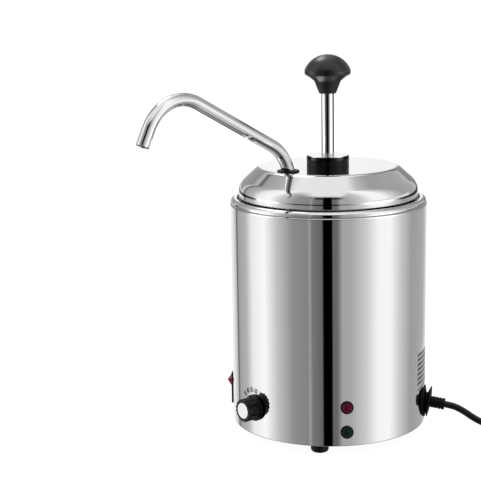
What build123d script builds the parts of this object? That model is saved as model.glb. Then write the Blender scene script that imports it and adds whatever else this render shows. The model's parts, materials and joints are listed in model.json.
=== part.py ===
"""A heated sauce dispenser: a polished pot with a water well, a lift-out jar and a piston pump.

Millimetres. +Z is up and z = 0 is the surface under the feet. The body's axis is the Z axis
and the spout points to -Y. An azimuth is an angle about Z, from -Y towards +X.
"""

from math import acos, cos, degrees, pi, radians, sin, sqrt, tan
import os

from build123d import *

os.makedirs("parts", exist_ok=True)

# Fits, all on the radius or between two faces
running_fit = 0.05
thread_fit = 0.05
resting_gap = 0.05
weld_gap = 0.02
loose_gap = 0.3
hole_gap = 0.2

# Outer shell
body_radius = 95.0
shell_height = 216.2
shell_wall = 1.0
shell_lip = 5.0
shell_top_round = 1.1

# Vent louvres, pressed into the shell above the cord gland
louvre_count = 7
louvre_pitch = 4.8
louvre_slot = 2.0
louvre_arc = 35.0
louvre_reach = 1.6
louvre_wall = 0.7
louvre_rise = 43.0

# Feet and base plate
foot_height = 9.0
foot_radius = 8.5
foot_round = 3.0
foot_inset = 13.5
foot_count = 4
foot_azimuth = 37.4
foot_bore_depth = 4.0
plate_wall = 1.5
plate_recess = 1.0
plate_gap = 0.3

# Small screws, shared by the feet and the base plate
screw_radius = 2.0
screw_head_radius = 3.6
screw_head_height = 2.4
screw_nut_height = 3.2
screw_nut_flats = 7.0
screw_tail = 1.5

# Brackets that hold the base plate in the shell
bracket_width = 16.0
bracket_height = 14.0
bracket_leg = 16.0
bracket_wall = 1.5
bracket_screw_inset = 10.0

# Water well with its rolled rim
rim_setback = 0.7
rim_height = 5.5
rim_width = 6.2
rim_flat = 0.4
rim_inner_round = 1.1
rim_curl = 2.0
rim_curl_round = 1.2
ledge_drop = 10.7
ledge_width = 4.1
ledge_round = 0.4
ledge_edge_round = 1.4
well_wall = 1.0
well_corner = 6.0
electric_height = 74.5

# Sauce jar
jar_wall = 1.0
jar_corner = 10.0
jar_rim_round = 2.5
jar_flange_gap = 0.5
water_gap = 6.5
water_under_jar = 5.0

# Lid
lid_wall = 1.0
lid_gap = 1.7
lid_rise = 29.7
lid_shoulder_rise = 12.6
lid_flat_radius = 67.4
lid_shoulder_round = 17.0
lid_tuck = 2.4
lid_tuck_round = 0.2
lid_lip_rise = 0.3
lid_lip_round = 1.1
lid_edge_round = 8.0

# Pump collar on the lid, with its bright disc
collar_radius = 20.4
collar_height = 10.4
collar_edge_round = 0.4
collar_groove_rise = 3.4
collar_groove_height = 0.8
collar_groove_depth = 0.4
collar_roof = 2.3
collar_disc_radius = 20.0
collar_disc_wall = 0.8

# Pump cylinder, its gasket and the rod's bush
cylinder_bore = 14.0
cylinder_wall = 3.0
cylinder_flange = 4.5
cylinder_flange_height = 4.0
gasket_wall = 1.0
bush_flange_height = 1.5
bush_length = 12.0

# Plunger
rod_radius = 6.0
rod_show = 58.8
stroke = 50.0
knob_radius = 22.0
knob_height = 37.1
knob_rim_low = 18.0
knob_rim_high = 23.0
knob_edge_inset = 0.3
knob_under_inset = 0.5
knob_neck_radius = 13.0
knob_neck_height = 12.0
knob_cove = 0.3
knob_foot_radius = 8.1
knob_socket = 24.0
piston_height = 12.0
piston_gap = 0.4
piston_stud_radius = 4.0
piston_nut_flats = 13.0
piston_nut_height = 5.0
seal_height = 3.6
seal_depth = 2.4

# Return spring
spring_wire = 0.9
spring_radius = 10.6
spring_turns = 9

# Valve body under the cylinder
valve_socket_wall = 4.0
valve_socket_depth = 12.0
valve_chamber_radius = 8.0
valve_chamber_height = 22.0
valve_floor = 8.0
inlet_clearance = 5.4
inlet_bore = 4.5
inlet_ball_radius = 6.0
ball_lift = 4.0
stop_pin_radius = 1.0
port_bore = 4.5
port_height = 12.0
boss_radius = 9.0
boss_reach = 30.0

# Outlet elbow, its ball and the union that holds the spout tube
elbow_radius = 7.5
elbow_socket_radius = 8.5
outlet_seat_rise = 10.0
outlet_chamber_height = 18.0
outlet_chamber_radius = 6.2
outlet_ball_radius = 5.5
tube_socket = 10.0
union_flats = 21.0
union_height = 14.0
union_roof = 3.8
union_seal_wall = 2.0

# Spout tube: up, a bend, a rising run, a bend and the tip
spout_radius = 6.0
spout_wall = 1.0
spout_offset = 52.6
spout_bend_drop = 10.4
spout_bend_radius = 41.5
spout_rise_angle = 27.3
spout_run = 101.1
spout_drop_angle = 63.0
spout_tip = 15.7

# Rubber grommet where the spout leaves the lid
grommet_radius = 10.5
grommet_height = 1.5
grommet_side = 1.0
grommet_top_radius = 8.2
grommet_bow = 0.2
grommet_hole = 8.0
grommet_under = 1.5
grommet_under_radius = 9.6

# Places of the controls on the shell: azimuth, and height above the shell's lower edge
knob_azimuth = -4.1
knob_rise = 27.9
switch_azimuth = -53.7
switch_rise = 27.1
lamp_azimuth = 53.7
red_lamp_rise = 37.9
green_lamp_rise = 14.0
gland_azimuth = 124.4
gland_rise = 19.4

# Capillary thermostat and its control knob
thermostat_width = 40.0
thermostat_height = 34.0
thermostat_depth = 26.0
thermostat_setback = 7.0
bushing_radius = 5.0
bushing_reach = 4.0
bushing_nut_flats = 14.0
bushing_nut_height = 2.4
shaft_radius = 3.0
shaft_reach = 9.0
dial_skirt_radius = 12.6
dial_skirt_height = 3.0
dial_radius = 11.0
dial_length = 14.6
dial_stand_off = 0.9
dial_flutes = 16
dial_flute_radius = 1.6
dial_flute_depth = 0.8
dial_pocket_radius = 9.0
dial_pocket_depth = 5.0
dial_cap_radius = 7.6
dial_cap_wall = 0.8
set_screw_radius = 1.5
set_screw_place = 8.0

# Sensor bulb under the well
bulb_radius = 3.0
bulb_length = 60.0
bulb_inset = 14.0
capillary_radius = 0.8
capillary_lead = 10
capillary_bend = 4.0
clip_wall = 0.8
clip_width = 8.0
clip_ear = 6.0

# Heater under the well
heater_inset = 24.0
heater_height = 8.0
heater_stud_radius = 3.0
heater_stud_length = 20.0
heater_nut_flats = 10.0
heater_nut_height = 5.0
heater_bar_length = 90.0
heater_bar_width = 18.0
heater_bar_height = 3.0
heater_post_radius = 4.0
heater_post_height = 6.0
heater_post_x = 34.0
heater_post_y = 30.0
cutout_radius = 8.0
cutout_height = 10.0
cutout_inset = 28.0
blade_width = 6.3
blade_wall = 0.8
blade_length = 8.0

# Rocker switch
bezel_width = 25.0
bezel_height = 32.4
bezel_wall = 1.4
bezel_round = 2.0
switch_body_width = 21.0
switch_body_height = 27.0
switch_body_depth = 22.0
rocker_width = 16.0
rocker_height = 18.0
rocker_end_rise = 4.4
rocker_middle_rise = 1.3
rocker_barrel = 4.0
rocker_pin_radius = 1.2
rocker_pin_length = 1.6
rocker_tilt = 14.0
rocker_side_gap = 0.4
rocker_end_gap = 1.0
rocker_pocket_depth = 5.0

# Signal lamps
lamp_flange_radius = 6.2
lamp_flange_wall = 1.4
lamp_stem_radius = 4.8
lamp_stem_length = 24.0
lamp_lens_radius = 4.7
lamp_lens_height = 2.8
lamp_nut_flats = 12.0
lamp_nut_height = 3.0

# Cord gland and boot: two rubber flanges and a ribbed sleeve that droops
gland_radius = 15.6
gland_reach = 1.9
gland_edge = 0.7
gland_hub_radius = 8.6
gland_neck_radius = 8.0
gland_neck_length = 12.0
gland_nut_flats = 22.0
gland_nut_height = 5.0
boot_droop = 8.5
boot_neck_radius = 8.6
boot_neck_sink = 2.4
boot_neck_rise = 0.2
boot_flange_radius = 14.8
boot_flange_place = 2.2
boot_flange_wall = 1.1
boot_flange_crown = 1.3
boot_flange_round = 0.4
boot_sleeve_radius = 5.2
boot_sleeve_end_radius = 5.0
boot_sleeve_length = 13.6
boot_rib_height = 0.45
boot_rib_width = 2.6
boot_ribs = 4
cord_radius = 3.25

# Terminal block, earth screw and wires
block_length = 34.0
block_width = 16.0
block_height = 16.0
block_round = 2.0
block_x = 10.0
block_y = 56.0
block_poles = 3
block_pitch = 11.0
block_screw_radius = 2.2
block_screw_depth = 3.0
earth_x = 58.0
earth_y = 4.0
wire_radius = 1.1
wire_bend = 5.0
wire_short_lead = 6.0
wire_lead = 10.0
wire_long_lead = 14.0
wire_far_lead = 20.0
lead_pitch = 5.5

# Mains cord: points of the free stretch as reach and drop from the boot's tip, then its coil
cord_first_run = 7.0
cord_free = [(13.6, -3.4), (20.5, -7.3), (28.8, -12.9), (38.8, -17.6), (50.5, -20.1)]
cord_floor_reach = [65.5, 80.5]
coil_pitch = 7.1
coil_inner = 28.0
coil_turns = 5.4
coil_steps = 4
coil_floor = 1.2
coil_lead = 6.5
tie_wall = 0.8
tie_width = 12.0
tie_gap = 1.0
tie_angle = 205.0
plug_radius = 13.0
plug_length = 34.0
plug_neck_radius = 5.5
plug_neck_length = 16.0
plug_neck_end_radius = 10.4
plug_round = 3.0
pin_radius = 2.4
pin_length = 19.0
pin_pitch = 14.0
tail_run = 20.0

# Levels and radii that follow from the sizes above
shell_bottom = foot_height
shell_top = shell_bottom + shell_height
shell_inner = body_radius - shell_wall
plate_bottom = shell_bottom + plate_recess
plate_top = plate_bottom + plate_wall
plate_radius = shell_inner - plate_gap
rim_radius = body_radius - rim_setback
rim_top = shell_top + rim_height
rim_bore = rim_radius - rim_width
rim_outer_round = min(rim_width - rim_inner_round - rim_flat, rim_height - rim_curl_round - rim_flat)
ledge_level = rim_top - ledge_drop
well_radius = rim_bore - ledge_width
bulb_offset = well_radius - bulb_inset
heater_radius = well_radius - heater_inset
cutout_place = cutout_inset - heater_radius
foot_circle = body_radius - foot_inset
well_under = plate_top + electric_height
well_level = well_under + well_wall
jar_flange_under = ledge_level + resting_gap
jar_top = jar_flange_under + jar_wall
jar_radius = well_radius - water_gap
jar_bore = jar_radius - jar_wall
jar_floor = well_level + water_under_jar + jar_wall
lid_foot = jar_top + resting_gap
lid_radius = rim_bore - lid_gap
lid_top = rim_top + lid_rise
lid_under = lid_top - lid_wall
collar_top = lid_top + collar_height
cylinder_radius = cylinder_bore + cylinder_wall
flange_radius = cylinder_radius + cylinder_flange
flange_top = lid_under - gasket_wall
flange_under = flange_top - cylinder_flange_height
roof_under = collar_top - collar_roof
cylinder_top = roof_under - bush_flange_height
bush_end = cylinder_top - bush_length
piston_top = bush_end - loose_gap
piston_under = piston_top - piston_height
knob_foot = collar_top + rod_show
valve_bottom = jar_floor + inlet_clearance
chamber_floor = valve_bottom + valve_floor
cylinder_end = chamber_floor + valve_chamber_height
port_level = chamber_floor + port_height
outlet_seat = port_level + outlet_seat_rise
tube_end = outlet_seat + outlet_chamber_height
elbow_top = tube_end + tube_socket
spout_bend_start = lid_top - spout_bend_drop


def keep(piece, label):
    """Names a finished piece and writes it."""
    piece.part.label = label
    export_step(piece.part, f"parts/{label}.step")


def outward(azimuth):
    """The level direction that points away from the axis at an azimuth."""
    turn = radians(azimuth)
    return Vector(sin(turn), -cos(turn), 0)


def wall_plane(azimuth, level, radius):
    """A plane that faces away from the axis, with its own y axis up."""
    turn = radians(azimuth)
    away = outward(azimuth)
    return Plane(origin=away * radius + Vector(0, 0, level), x_dir=(cos(turn), sin(turn), 0), z_dir=away)


def radial_plane(azimuth):
    """An upright plane through the axis: x is the distance from the axis and y the height."""
    turn = radians(azimuth)
    return Plane(origin=(0, 0, 0), x_dir=outward(azimuth), z_dir=(-cos(turn), -sin(turn), 0))


def turned(plane, *outline):
    """A piece turned about a plane's normal, from an outline of (radius, height) points."""
    upright = Plane(origin=plane.origin, x_dir=plane.x_dir, z_dir=-plane.y_dir)
    with BuildPart() as piece:
        with BuildSketch(upright):
            with BuildLine():
                Polyline(*outline, close=True)
            make_face()
        revolve(axis=Axis(plane.origin, plane.z_dir))
    return piece


def ring(plane, inner, outer, low, high):
    """A plain turned ring between two radii and two heights on a plane."""
    return turned(plane, (inner, low), (outer, low), (outer, high), (inner, high))


def sheet_section(path, rounds, wall):
    """The closed outline of bent sheet: the path is one face of the sheet, which lies to the path's left."""
    near = [Vector(*point) for point in path]
    ways = [(after - before).normalized() for before, after in zip(near, near[1:])]
    sides = [Vector(-way.Y, way.X) for way in ways]
    far = [near[0] + sides[0] * wall]
    far_rounds = []
    for corner, size, side_in, side_out in zip(near[1:], rounds, sides, sides[1:]):
        far.append(corner + (side_in + side_out) * (wall / (1 + side_in.dot(side_out))))
        turns_left = side_in.cross(side_out).Z > 0
        far_rounds.append(size - wall if turns_left else size + wall)
    far.append(near[-1] + sides[-1] * wall)
    with BuildLine() as section:
        FilletPolyline(*near, radius=rounds)
        FilletPolyline(*far, radius=far_rounds)
        Line(near[0], far[0])
        Line(near[-1], far[-1])
    return section.line


def hex_radius(flats):
    """The corner radius of a hexagon, from its size across flats."""
    return flats / sqrt(3)


def add_dome(reach, rise, top):
    """Draws a cap of a sphere, from its rim to its top on the axis, in the line that is being built."""
    sphere = (reach**2 + rise**2) / (2 * rise)
    dome = degrees(acos((sphere - rise) / sphere))
    CenterArc((0, top - sphere), sphere, 90 - dome, dome)


def hex_nut(plane, flats, bore, low, high):
    """A plain hexagonal nut between two heights on a plane."""
    with BuildPart() as piece:
        with BuildSketch(plane.offset(low)):
            RegularPolygon(hex_radius(flats), 6)
            Circle(bore, mode=Mode.SUBTRACT)
        extrude(amount=high - low)
    return piece


def rod_along(points, rounds, radius):
    """A round rod along straight runs, with a radius at each corner."""
    with BuildPart() as piece:
        with BuildLine() as route:
            FilletPolyline(*points, radius=rounds)
        with BuildSketch(Plane(origin=route.line @ 0, z_dir=route.line % 0)):
            Circle(radius)
        sweep(path=route.line)
    return piece


def largest_rounds(points):
    """For each inner point of a route, the radius that uses 0.45 of its shorter run."""
    rounds = []
    for before, here, after in zip(points, points[1:], points[2:]):
        first = Vector(here) - Vector(before)
        second = Vector(after) - Vector(here)
        half_turn = radians(first.get_angle(second)) / 2
        rounds.append(0.45 * min(first.length, second.length) / tan(half_turn))
    return rounds


def bent_wire(points, bend, radius):
    """A thin rod along straight runs, bent to one radius or to what a short run allows."""
    return rod_along(points, [min(bend, most) for most in largest_rounds(points)], radius)


def biarc_joint(start, start_way, end, end_way):
    """The point and direction where two tangent arcs meet, between two points with their directions."""
    span = end - start
    ways = start_way + end_way
    a = ways.dot(ways) - 4
    b = -2 * span.dot(ways)
    c = span.dot(span)
    reach = (-b - sqrt(b * b - 4 * a * c)) / (2 * a)
    first_corner = start + start_way * reach
    second_corner = end - end_way * reach
    return (first_corner + second_corner) / 2, (second_corner - first_corner).normalized()


def add_biarcs(points, ways):
    """Draws two tangent arcs from each point to the next, in the line that is being built."""
    for start, start_way, end, end_way in zip(points, ways, points[1:], ways[1:]):
        joint, joint_way = biarc_joint(start, start_way, end, end_way)
        TangentArc(start, joint, tangent=start_way)
        TangentArc(joint, end, tangent=joint_way)


def least_gap(points, width, skip):
    """The least gap between turns of a tube, measured on points of its middle line."""
    least = None
    for index, point in enumerate(points):
        for other in points[index + skip:]:
            gap = (other - point).length - width
            if least is None or gap < least:
                least = gap
    return least


# Planes of the controls, on the outside of the shell
knob_plane = wall_plane(knob_azimuth, shell_bottom + knob_rise, body_radius)
switch_plane = wall_plane(switch_azimuth, shell_bottom + switch_rise, body_radius)
red_lamp_plane = wall_plane(lamp_azimuth, shell_bottom + red_lamp_rise, body_radius)
green_lamp_plane = wall_plane(lamp_azimuth, shell_bottom + green_lamp_rise, body_radius)
gland_plane = wall_plane(gland_azimuth, shell_bottom + gland_rise, body_radius)
lamp_planes = [red_lamp_plane, green_lamp_plane]

# Outer shell
shell_path = [(body_radius, shell_bottom), (body_radius, shell_top), (body_radius - shell_lip, shell_top)]
shell_section = sheet_section(shell_path, [shell_top_round], shell_wall)
with BuildPart() as outer_shell:
    with BuildSketch(Plane.XZ):
        make_face(shell_section)
    revolve(axis=Axis.Z)
    with BuildSketch(knob_plane):
        Circle(bushing_radius + hole_gap)
    with BuildSketch(switch_plane):
        Rectangle(switch_body_width + 2 * hole_gap, switch_body_height + 2 * hole_gap)
    with BuildSketch(*lamp_planes):
        Circle(lamp_stem_radius + hole_gap)
    with BuildSketch(gland_plane):
        Circle(gland_neck_radius + hole_gap)
    extrude(amount=4 * shell_wall, both=True, mode=Mode.SUBTRACT)
    for louvre in range(louvre_count):
        low = shell_bottom + louvre_rise + louvre * louvre_pitch
        high = low + louvre_slot
        with BuildSketch(radial_plane(gland_azimuth - louvre_arc / 2)):
            with BuildLine():
                Polyline(
                    (shell_inner - shell_wall, low),
                    (body_radius + shell_wall, low),
                    (body_radius + shell_wall, high),
                    (shell_inner - shell_wall, high),
                    close=True,
                )
            make_face()
        revolve(axis=Axis.Z, revolution_arc=louvre_arc, mode=Mode.SUBTRACT)
        with BuildSketch(radial_plane(gland_azimuth - louvre_arc / 2)):
            with BuildLine():
                Polyline(
                    (shell_inner + shell_wall / 2, high),
                    (shell_inner - louvre_reach + louvre_wall, low),
                    (shell_inner - louvre_reach, low),
                    (shell_inner, high + louvre_wall),
                    (shell_inner + shell_wall / 2, high + louvre_wall),
                    close=True,
                )
            make_face()
        revolve(axis=Axis.Z, revolution_arc=louvre_arc)
keep(outer_shell, "outer_shell")

# Water well: the rolled rim, the ledge for the jar, the wall, the floor and the heater's welded stud
well_path = [
    (rim_radius - rim_curl, shell_top),
    (rim_radius, shell_top),
    (rim_radius, rim_top),
    (rim_bore, rim_top),
    (rim_bore, ledge_level),
    (well_radius, ledge_level),
    (well_radius, well_level),
    (0, well_level),
]
well_rounds = [rim_curl_round, rim_outer_round, rim_inner_round, ledge_round, ledge_edge_round, well_corner]
well_section = sheet_section(well_path, well_rounds, well_wall)
with BuildPart() as water_well:
    with BuildSketch(Plane.XZ):
        make_face(well_section)
        with Locations((0, well_under)):
            Rectangle(heater_stud_radius, heater_stud_length, align=(Align.MIN, Align.MAX))
    revolve(axis=Axis.Z)
keep(water_well, "water_well")

# Base plate with holes for the feet's screws and for its own screws
foot_step = 360 / foot_count
bracket_azimuths = [foot_azimuth + (index + 0.5) * foot_step for index in range(foot_count)]
foot_places = [outward(foot_azimuth + index * foot_step) * foot_circle for index in range(foot_count)]
bracket_places = [outward(azimuth) * (shell_inner - bracket_screw_inset) for azimuth in bracket_azimuths]
earth_place = Vector(earth_x, earth_y)
with BuildPart() as base_plate:
    with BuildSketch(Plane.XY.offset(plate_bottom)):
        Circle(plate_radius)
        with Locations(*foot_places, *bracket_places, earth_place):
            Circle(screw_radius + hole_gap, mode=Mode.SUBTRACT)
    extrude(amount=plate_wall)
keep(base_plate, "base_plate")

# Rubber feet, each with a recess for its screw's head
with BuildPart() as rubber_feet:
    with BuildSketch():
        with Locations(*foot_places):
            Circle(foot_radius)
    extrude(amount=plate_bottom)
    fillet(rubber_feet.edges().group_by(Axis.Z)[0], foot_round)
    with BuildSketch():
        with Locations(*foot_places):
            Circle(screw_head_radius + hole_gap)
    extrude(amount=foot_bore_depth, mode=Mode.SUBTRACT)
    with BuildSketch():
        with Locations(*foot_places):
            Circle(screw_radius + hole_gap)
    extrude(amount=plate_bottom, mode=Mode.SUBTRACT)
keep(rubber_feet, "rubber_feet")


def screws(places, head_top, tip):
    """Screws that stand on end, each with its head under a level and its tip at another."""
    with BuildPart() as piece:
        with BuildSketch(Plane.XY.offset(head_top - screw_head_height)):
            with Locations(*places):
                Circle(screw_head_radius)
        extrude(amount=screw_head_height)
        with BuildSketch(Plane.XY.offset(head_top)):
            with Locations(*places):
                Circle(screw_radius)
        extrude(amount=tip - head_top)
    return piece


# Screws of the feet, of the base plate's brackets and of the earth wire, and their nuts
nut_top = plate_top + screw_nut_height
foot_screws = screws(foot_places, foot_bore_depth, nut_top + screw_tail)
bracket_screws = screws(bracket_places, plate_bottom, plate_top + bracket_wall + screw_tail)
earth_screw = screws([earth_place], plate_bottom, nut_top + screw_tail)
with BuildPart() as plate_screws:
    add(foot_screws.part)
    add(bracket_screws.part)
    add(earth_screw.part)
keep(plate_screws, "plate_screws")

with BuildPart() as plate_nuts:
    with BuildSketch(Plane.XY.offset(plate_top)):
        with Locations(*foot_places, earth_place):
            RegularPolygon(hex_radius(screw_nut_flats), 6)
            Circle(screw_radius + thread_fit, mode=Mode.SUBTRACT)
    extrude(amount=screw_nut_height)
keep(plate_nuts, "plate_nuts")

# Brackets welded to the shell, which the base plate is screwed to
with BuildPart() as base_brackets:
    for azimuth in bracket_azimuths:
        with BuildSketch(radial_plane(azimuth)):
            with BuildLine():
                Polyline(
                    (shell_inner - bracket_leg, plate_top),
                    (shell_inner, plate_top),
                    (shell_inner, plate_top + bracket_height),
                    (shell_inner - bracket_wall, plate_top + bracket_height),
                    (shell_inner - bracket_wall, plate_top + bracket_wall),
                    (shell_inner - bracket_leg, plate_top + bracket_wall),
                    close=True,
                )
            make_face()
    extrude(amount=bracket_width / 2, both=True)
    with BuildSketch(Plane.XY.offset(plate_top)):
        Circle(shell_inner - weld_gap)
        with Locations(*bracket_places):
            Circle(screw_radius + thread_fit, mode=Mode.SUBTRACT)
    extrude(amount=bracket_height, mode=Mode.INTERSECT)
keep(base_brackets, "base_brackets")

# Heater plate under the well, its clamp bar and nut
heater_under = well_under - heater_height
bar_under = heater_under - heater_bar_height
heater_plate = ring(Plane.XY, heater_stud_radius + hole_gap, heater_radius, heater_under, well_under)
keep(heater_plate, "heater_plate")

with BuildPart() as heater_bar:
    with BuildSketch(Plane.XY.offset(bar_under)):
        SlotOverall(heater_bar_length, heater_bar_width)
        Circle(heater_stud_radius + hole_gap, mode=Mode.SUBTRACT)
    extrude(amount=heater_bar_height)
keep(heater_bar, "heater_bar")

heater_nut = hex_nut(
    Plane.XY, heater_nut_flats, heater_stud_radius + thread_fit, bar_under - heater_nut_height, bar_under
)
keep(heater_nut, "heater_nut")

# Heater terminals: two insulating posts, each with a blade
post_under = heater_under - heater_post_height
with BuildPart() as heater_terminals:
    with BuildSketch(Plane.XY.offset(heater_under)):
        with Locations((heater_post_x, heater_post_y), (-heater_post_x, heater_post_y)):
            Circle(heater_post_radius)
    extrude(amount=-heater_post_height)
    with BuildSketch(Plane.XY.offset(post_under)):
        with Locations((heater_post_x, heater_post_y), (-heater_post_x, heater_post_y)):
            Rectangle(blade_width, blade_wall)
    extrude(amount=-blade_length)
keep(heater_terminals, "heater_terminals")

# Thermal cut-out on the heater plate, with two blades
cutout_under = heater_under - cutout_height
with BuildPart() as thermal_cutout:
    with BuildSketch(Plane.XY.offset(heater_under)):
        with Locations((0, cutout_place)):
            Circle(cutout_radius)
    extrude(amount=-cutout_height)
    with BuildSketch(Plane.XY.offset(cutout_under)):
        with Locations((cutout_radius / 2, cutout_place), (-cutout_radius / 2, cutout_place)):
            Rectangle(blade_wall, blade_width)
    extrude(amount=-blade_length)
keep(thermal_cutout, "thermal_cutout")

# Capillary thermostat behind the control knob
thermostat_back = thermostat_setback + thermostat_depth
thermostat_blade_x = thermostat_width / 4
with BuildPart() as thermostat_body:
    with BuildSketch(knob_plane.offset(-thermostat_setback)):
        Rectangle(thermostat_width, thermostat_height)
    extrude(amount=-thermostat_depth)
    with BuildSketch(knob_plane.offset(-thermostat_setback)):
        Circle(bushing_radius)
    extrude(amount=thermostat_setback + bushing_reach)
    with BuildSketch(knob_plane.offset(-thermostat_back)):
        with Locations((thermostat_blade_x, 0), (-thermostat_blade_x, 0)):
            Rectangle(blade_wall, blade_width)
    extrude(amount=-blade_length)
    with BuildSketch(knob_plane.offset(bushing_reach)):
        Circle(shaft_radius + running_fit)
    extrude(amount=-(bushing_reach + thermostat_setback + thermostat_depth / 2), mode=Mode.SUBTRACT)
keep(thermostat_body, "thermostat_body")

# Nuts on the bushing, one on each side of the shell
nut_reach = hex_radius(bushing_nut_flats)
inner_sagitta = shell_inner - sqrt(shell_inner**2 - nut_reach**2)
with BuildPart() as thermostat_nuts:
    with BuildSketch(knob_plane, knob_plane.offset(-shell_wall - inner_sagitta - bushing_nut_height)):
        RegularPolygon(nut_reach, 6)
        Circle(bushing_radius + thread_fit, mode=Mode.SUBTRACT)
    extrude(amount=bushing_nut_height)
keep(thermostat_nuts, "thermostat_nuts")

# Control shaft, knob, cap and set screw
shaft_end = bushing_reach + shaft_reach
shaft_start = -(thermostat_setback + thermostat_depth / 2) + loose_gap
dial_front = dial_stand_off + dial_length
with BuildPart() as control_shaft:
    with BuildSketch(knob_plane.offset(shaft_start)):
        Circle(shaft_radius)
    extrude(amount=shaft_end - shaft_start)
keep(control_shaft, "control_shaft")

dial_blank = turned(
    knob_plane,
    (0, dial_stand_off),
    (dial_skirt_radius, dial_stand_off),
    (dial_skirt_radius, dial_stand_off + dial_skirt_height / 2),
    (dial_radius, dial_stand_off + dial_skirt_height),
    (dial_radius, dial_front),
    (0, dial_front),
)
with BuildPart() as control_knob:
    add(dial_blank.part)
    with BuildSketch(knob_plane.offset(dial_stand_off + dial_skirt_height)):
        with PolarLocations(dial_radius + dial_flute_radius - dial_flute_depth, dial_flutes):
            Circle(dial_flute_radius)
    extrude(amount=dial_length, mode=Mode.SUBTRACT)
    with BuildSketch(knob_plane.offset(dial_stand_off)):
        Circle(dial_pocket_radius)
    extrude(amount=dial_pocket_depth, mode=Mode.SUBTRACT)
    with BuildSketch(knob_plane):
        Circle(shaft_radius + thread_fit)
    extrude(amount=shaft_end + thread_fit, mode=Mode.SUBTRACT)
    with BuildSketch(knob_plane.offset(dial_front - dial_cap_wall)):
        Circle(dial_cap_radius + thread_fit)
    extrude(amount=dial_cap_wall, mode=Mode.SUBTRACT)
    with BuildSketch(Plane(knob_plane.offset(set_screw_place).origin, knob_plane.x_dir, -knob_plane.y_dir)):
        Circle(set_screw_radius + thread_fit)
    extrude(amount=dial_radius, mode=Mode.SUBTRACT)
keep(control_knob, "control_knob")

with BuildPart() as knob_cap:
    with BuildSketch(knob_plane.offset(dial_front - dial_cap_wall)):
        Circle(dial_cap_radius)
    extrude(amount=dial_cap_wall)
keep(knob_cap, "knob_cap")

screw_seat = Plane(knob_plane.offset(set_screw_place).origin, knob_plane.x_dir, -knob_plane.y_dir)
with BuildPart() as knob_set_screw:
    with BuildSketch(screw_seat.offset(shaft_radius + weld_gap)):
        Circle(set_screw_radius)
    extrude(amount=dial_radius / 2)
keep(knob_set_screw, "knob_set_screw")

# Sensor bulb under the well, in a saddle clip
bulb_level = well_under - bulb_radius - resting_gap
bulb_plane = Plane(origin=(-bulb_length / 2, -bulb_offset, bulb_level), x_dir=(0, 1, 0), z_dir=(1, 0, 0))
with BuildPart() as sensor_bulb:
    with BuildSketch(bulb_plane):
        Circle(bulb_radius)
    extrude(amount=bulb_length)
keep(sensor_bulb, "sensor_bulb")

clip_radius = bulb_radius + resting_gap + clip_wall
with BuildPart() as bulb_clip:
    with BuildSketch(bulb_plane.offset(bulb_length / 2)):
        Circle(clip_radius)
        with Locations((0, clip_radius / 2)):
            Rectangle(2 * clip_radius, clip_radius)
        with Locations((0, bulb_radius + resting_gap - clip_wall / 2)):
            Rectangle(2 * (clip_radius + clip_ear), clip_wall)
        Circle(bulb_radius + resting_gap, mode=Mode.SUBTRACT)
        with Locations((0, clip_radius)):
            Rectangle(2 * (bulb_radius + resting_gap), 2 * clip_radius, mode=Mode.SUBTRACT)
        with Locations((0, bulb_radius + resting_gap + clip_radius)):
            Rectangle(4 * (clip_radius + clip_ear), 2 * clip_radius, mode=Mode.SUBTRACT)
    extrude(amount=clip_width / 2, both=True)
keep(bulb_clip, "bulb_clip")

# Capillary from the bulb's end down to the top of the thermostat
capillary_end = knob_plane.from_local_coords(
    (thermostat_width / 4, thermostat_height / 2, -thermostat_setback - thermostat_depth / 2)
)
capillary_start = Vector(bulb_length / 2, -bulb_offset, bulb_level)
capillary_points = [
    capillary_start,
    capillary_start + Vector(capillary_lead, 0, 0),
    capillary_start + Vector(1.6 * capillary_lead, 0.8 * capillary_lead, -0.8 * capillary_lead),
    capillary_start + Vector(0.6 * capillary_lead, 1.2 * capillary_lead, -1.5 * capillary_lead),
    Vector(capillary_end.X + 0.8 * capillary_lead, capillary_end.Y, capillary_end.Z + capillary_lead),
    Vector(capillary_end.X, capillary_end.Y, capillary_end.Z + 0.7 * capillary_lead),
    capillary_end,
]
capillary_tube = bent_wire(capillary_points, capillary_bend, capillary_radius)
keep(capillary_tube, "capillary_tube")

# Rocker switch: a housing with a pocket, and a rocker on two pins
rocker_window_width = rocker_width + 2 * rocker_side_gap
rocker_window_height = rocker_height + 2 * rocker_end_gap
with BuildPart() as switch_housing:
    with BuildSketch(switch_plane):
        RectangleRounded(bezel_width, bezel_height, bezel_round)
    extrude(amount=bezel_wall)
    with BuildSketch(switch_plane):
        Rectangle(switch_body_width, switch_body_height)
    extrude(amount=-switch_body_depth)
    with BuildSketch(switch_plane.offset(bezel_wall)):
        Rectangle(rocker_window_width, rocker_window_height)
    extrude(amount=-(bezel_wall + rocker_pocket_depth), mode=Mode.SUBTRACT)
    with BuildSketch(Plane(switch_plane.origin, -switch_plane.z_dir, switch_plane.x_dir)):
        Circle(rocker_pin_radius + running_fit)
    extrude(amount=rocker_width / 2 + rocker_pin_length + running_fit, both=True, mode=Mode.SUBTRACT)
    with BuildSketch(switch_plane.offset(-switch_body_depth)):
        with Locations((0, switch_body_height / 4), (0, -switch_body_height / 4)):
            Rectangle(blade_width, blade_wall)
    extrude(amount=-blade_length)
keep(switch_housing, "switch_housing")

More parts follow.
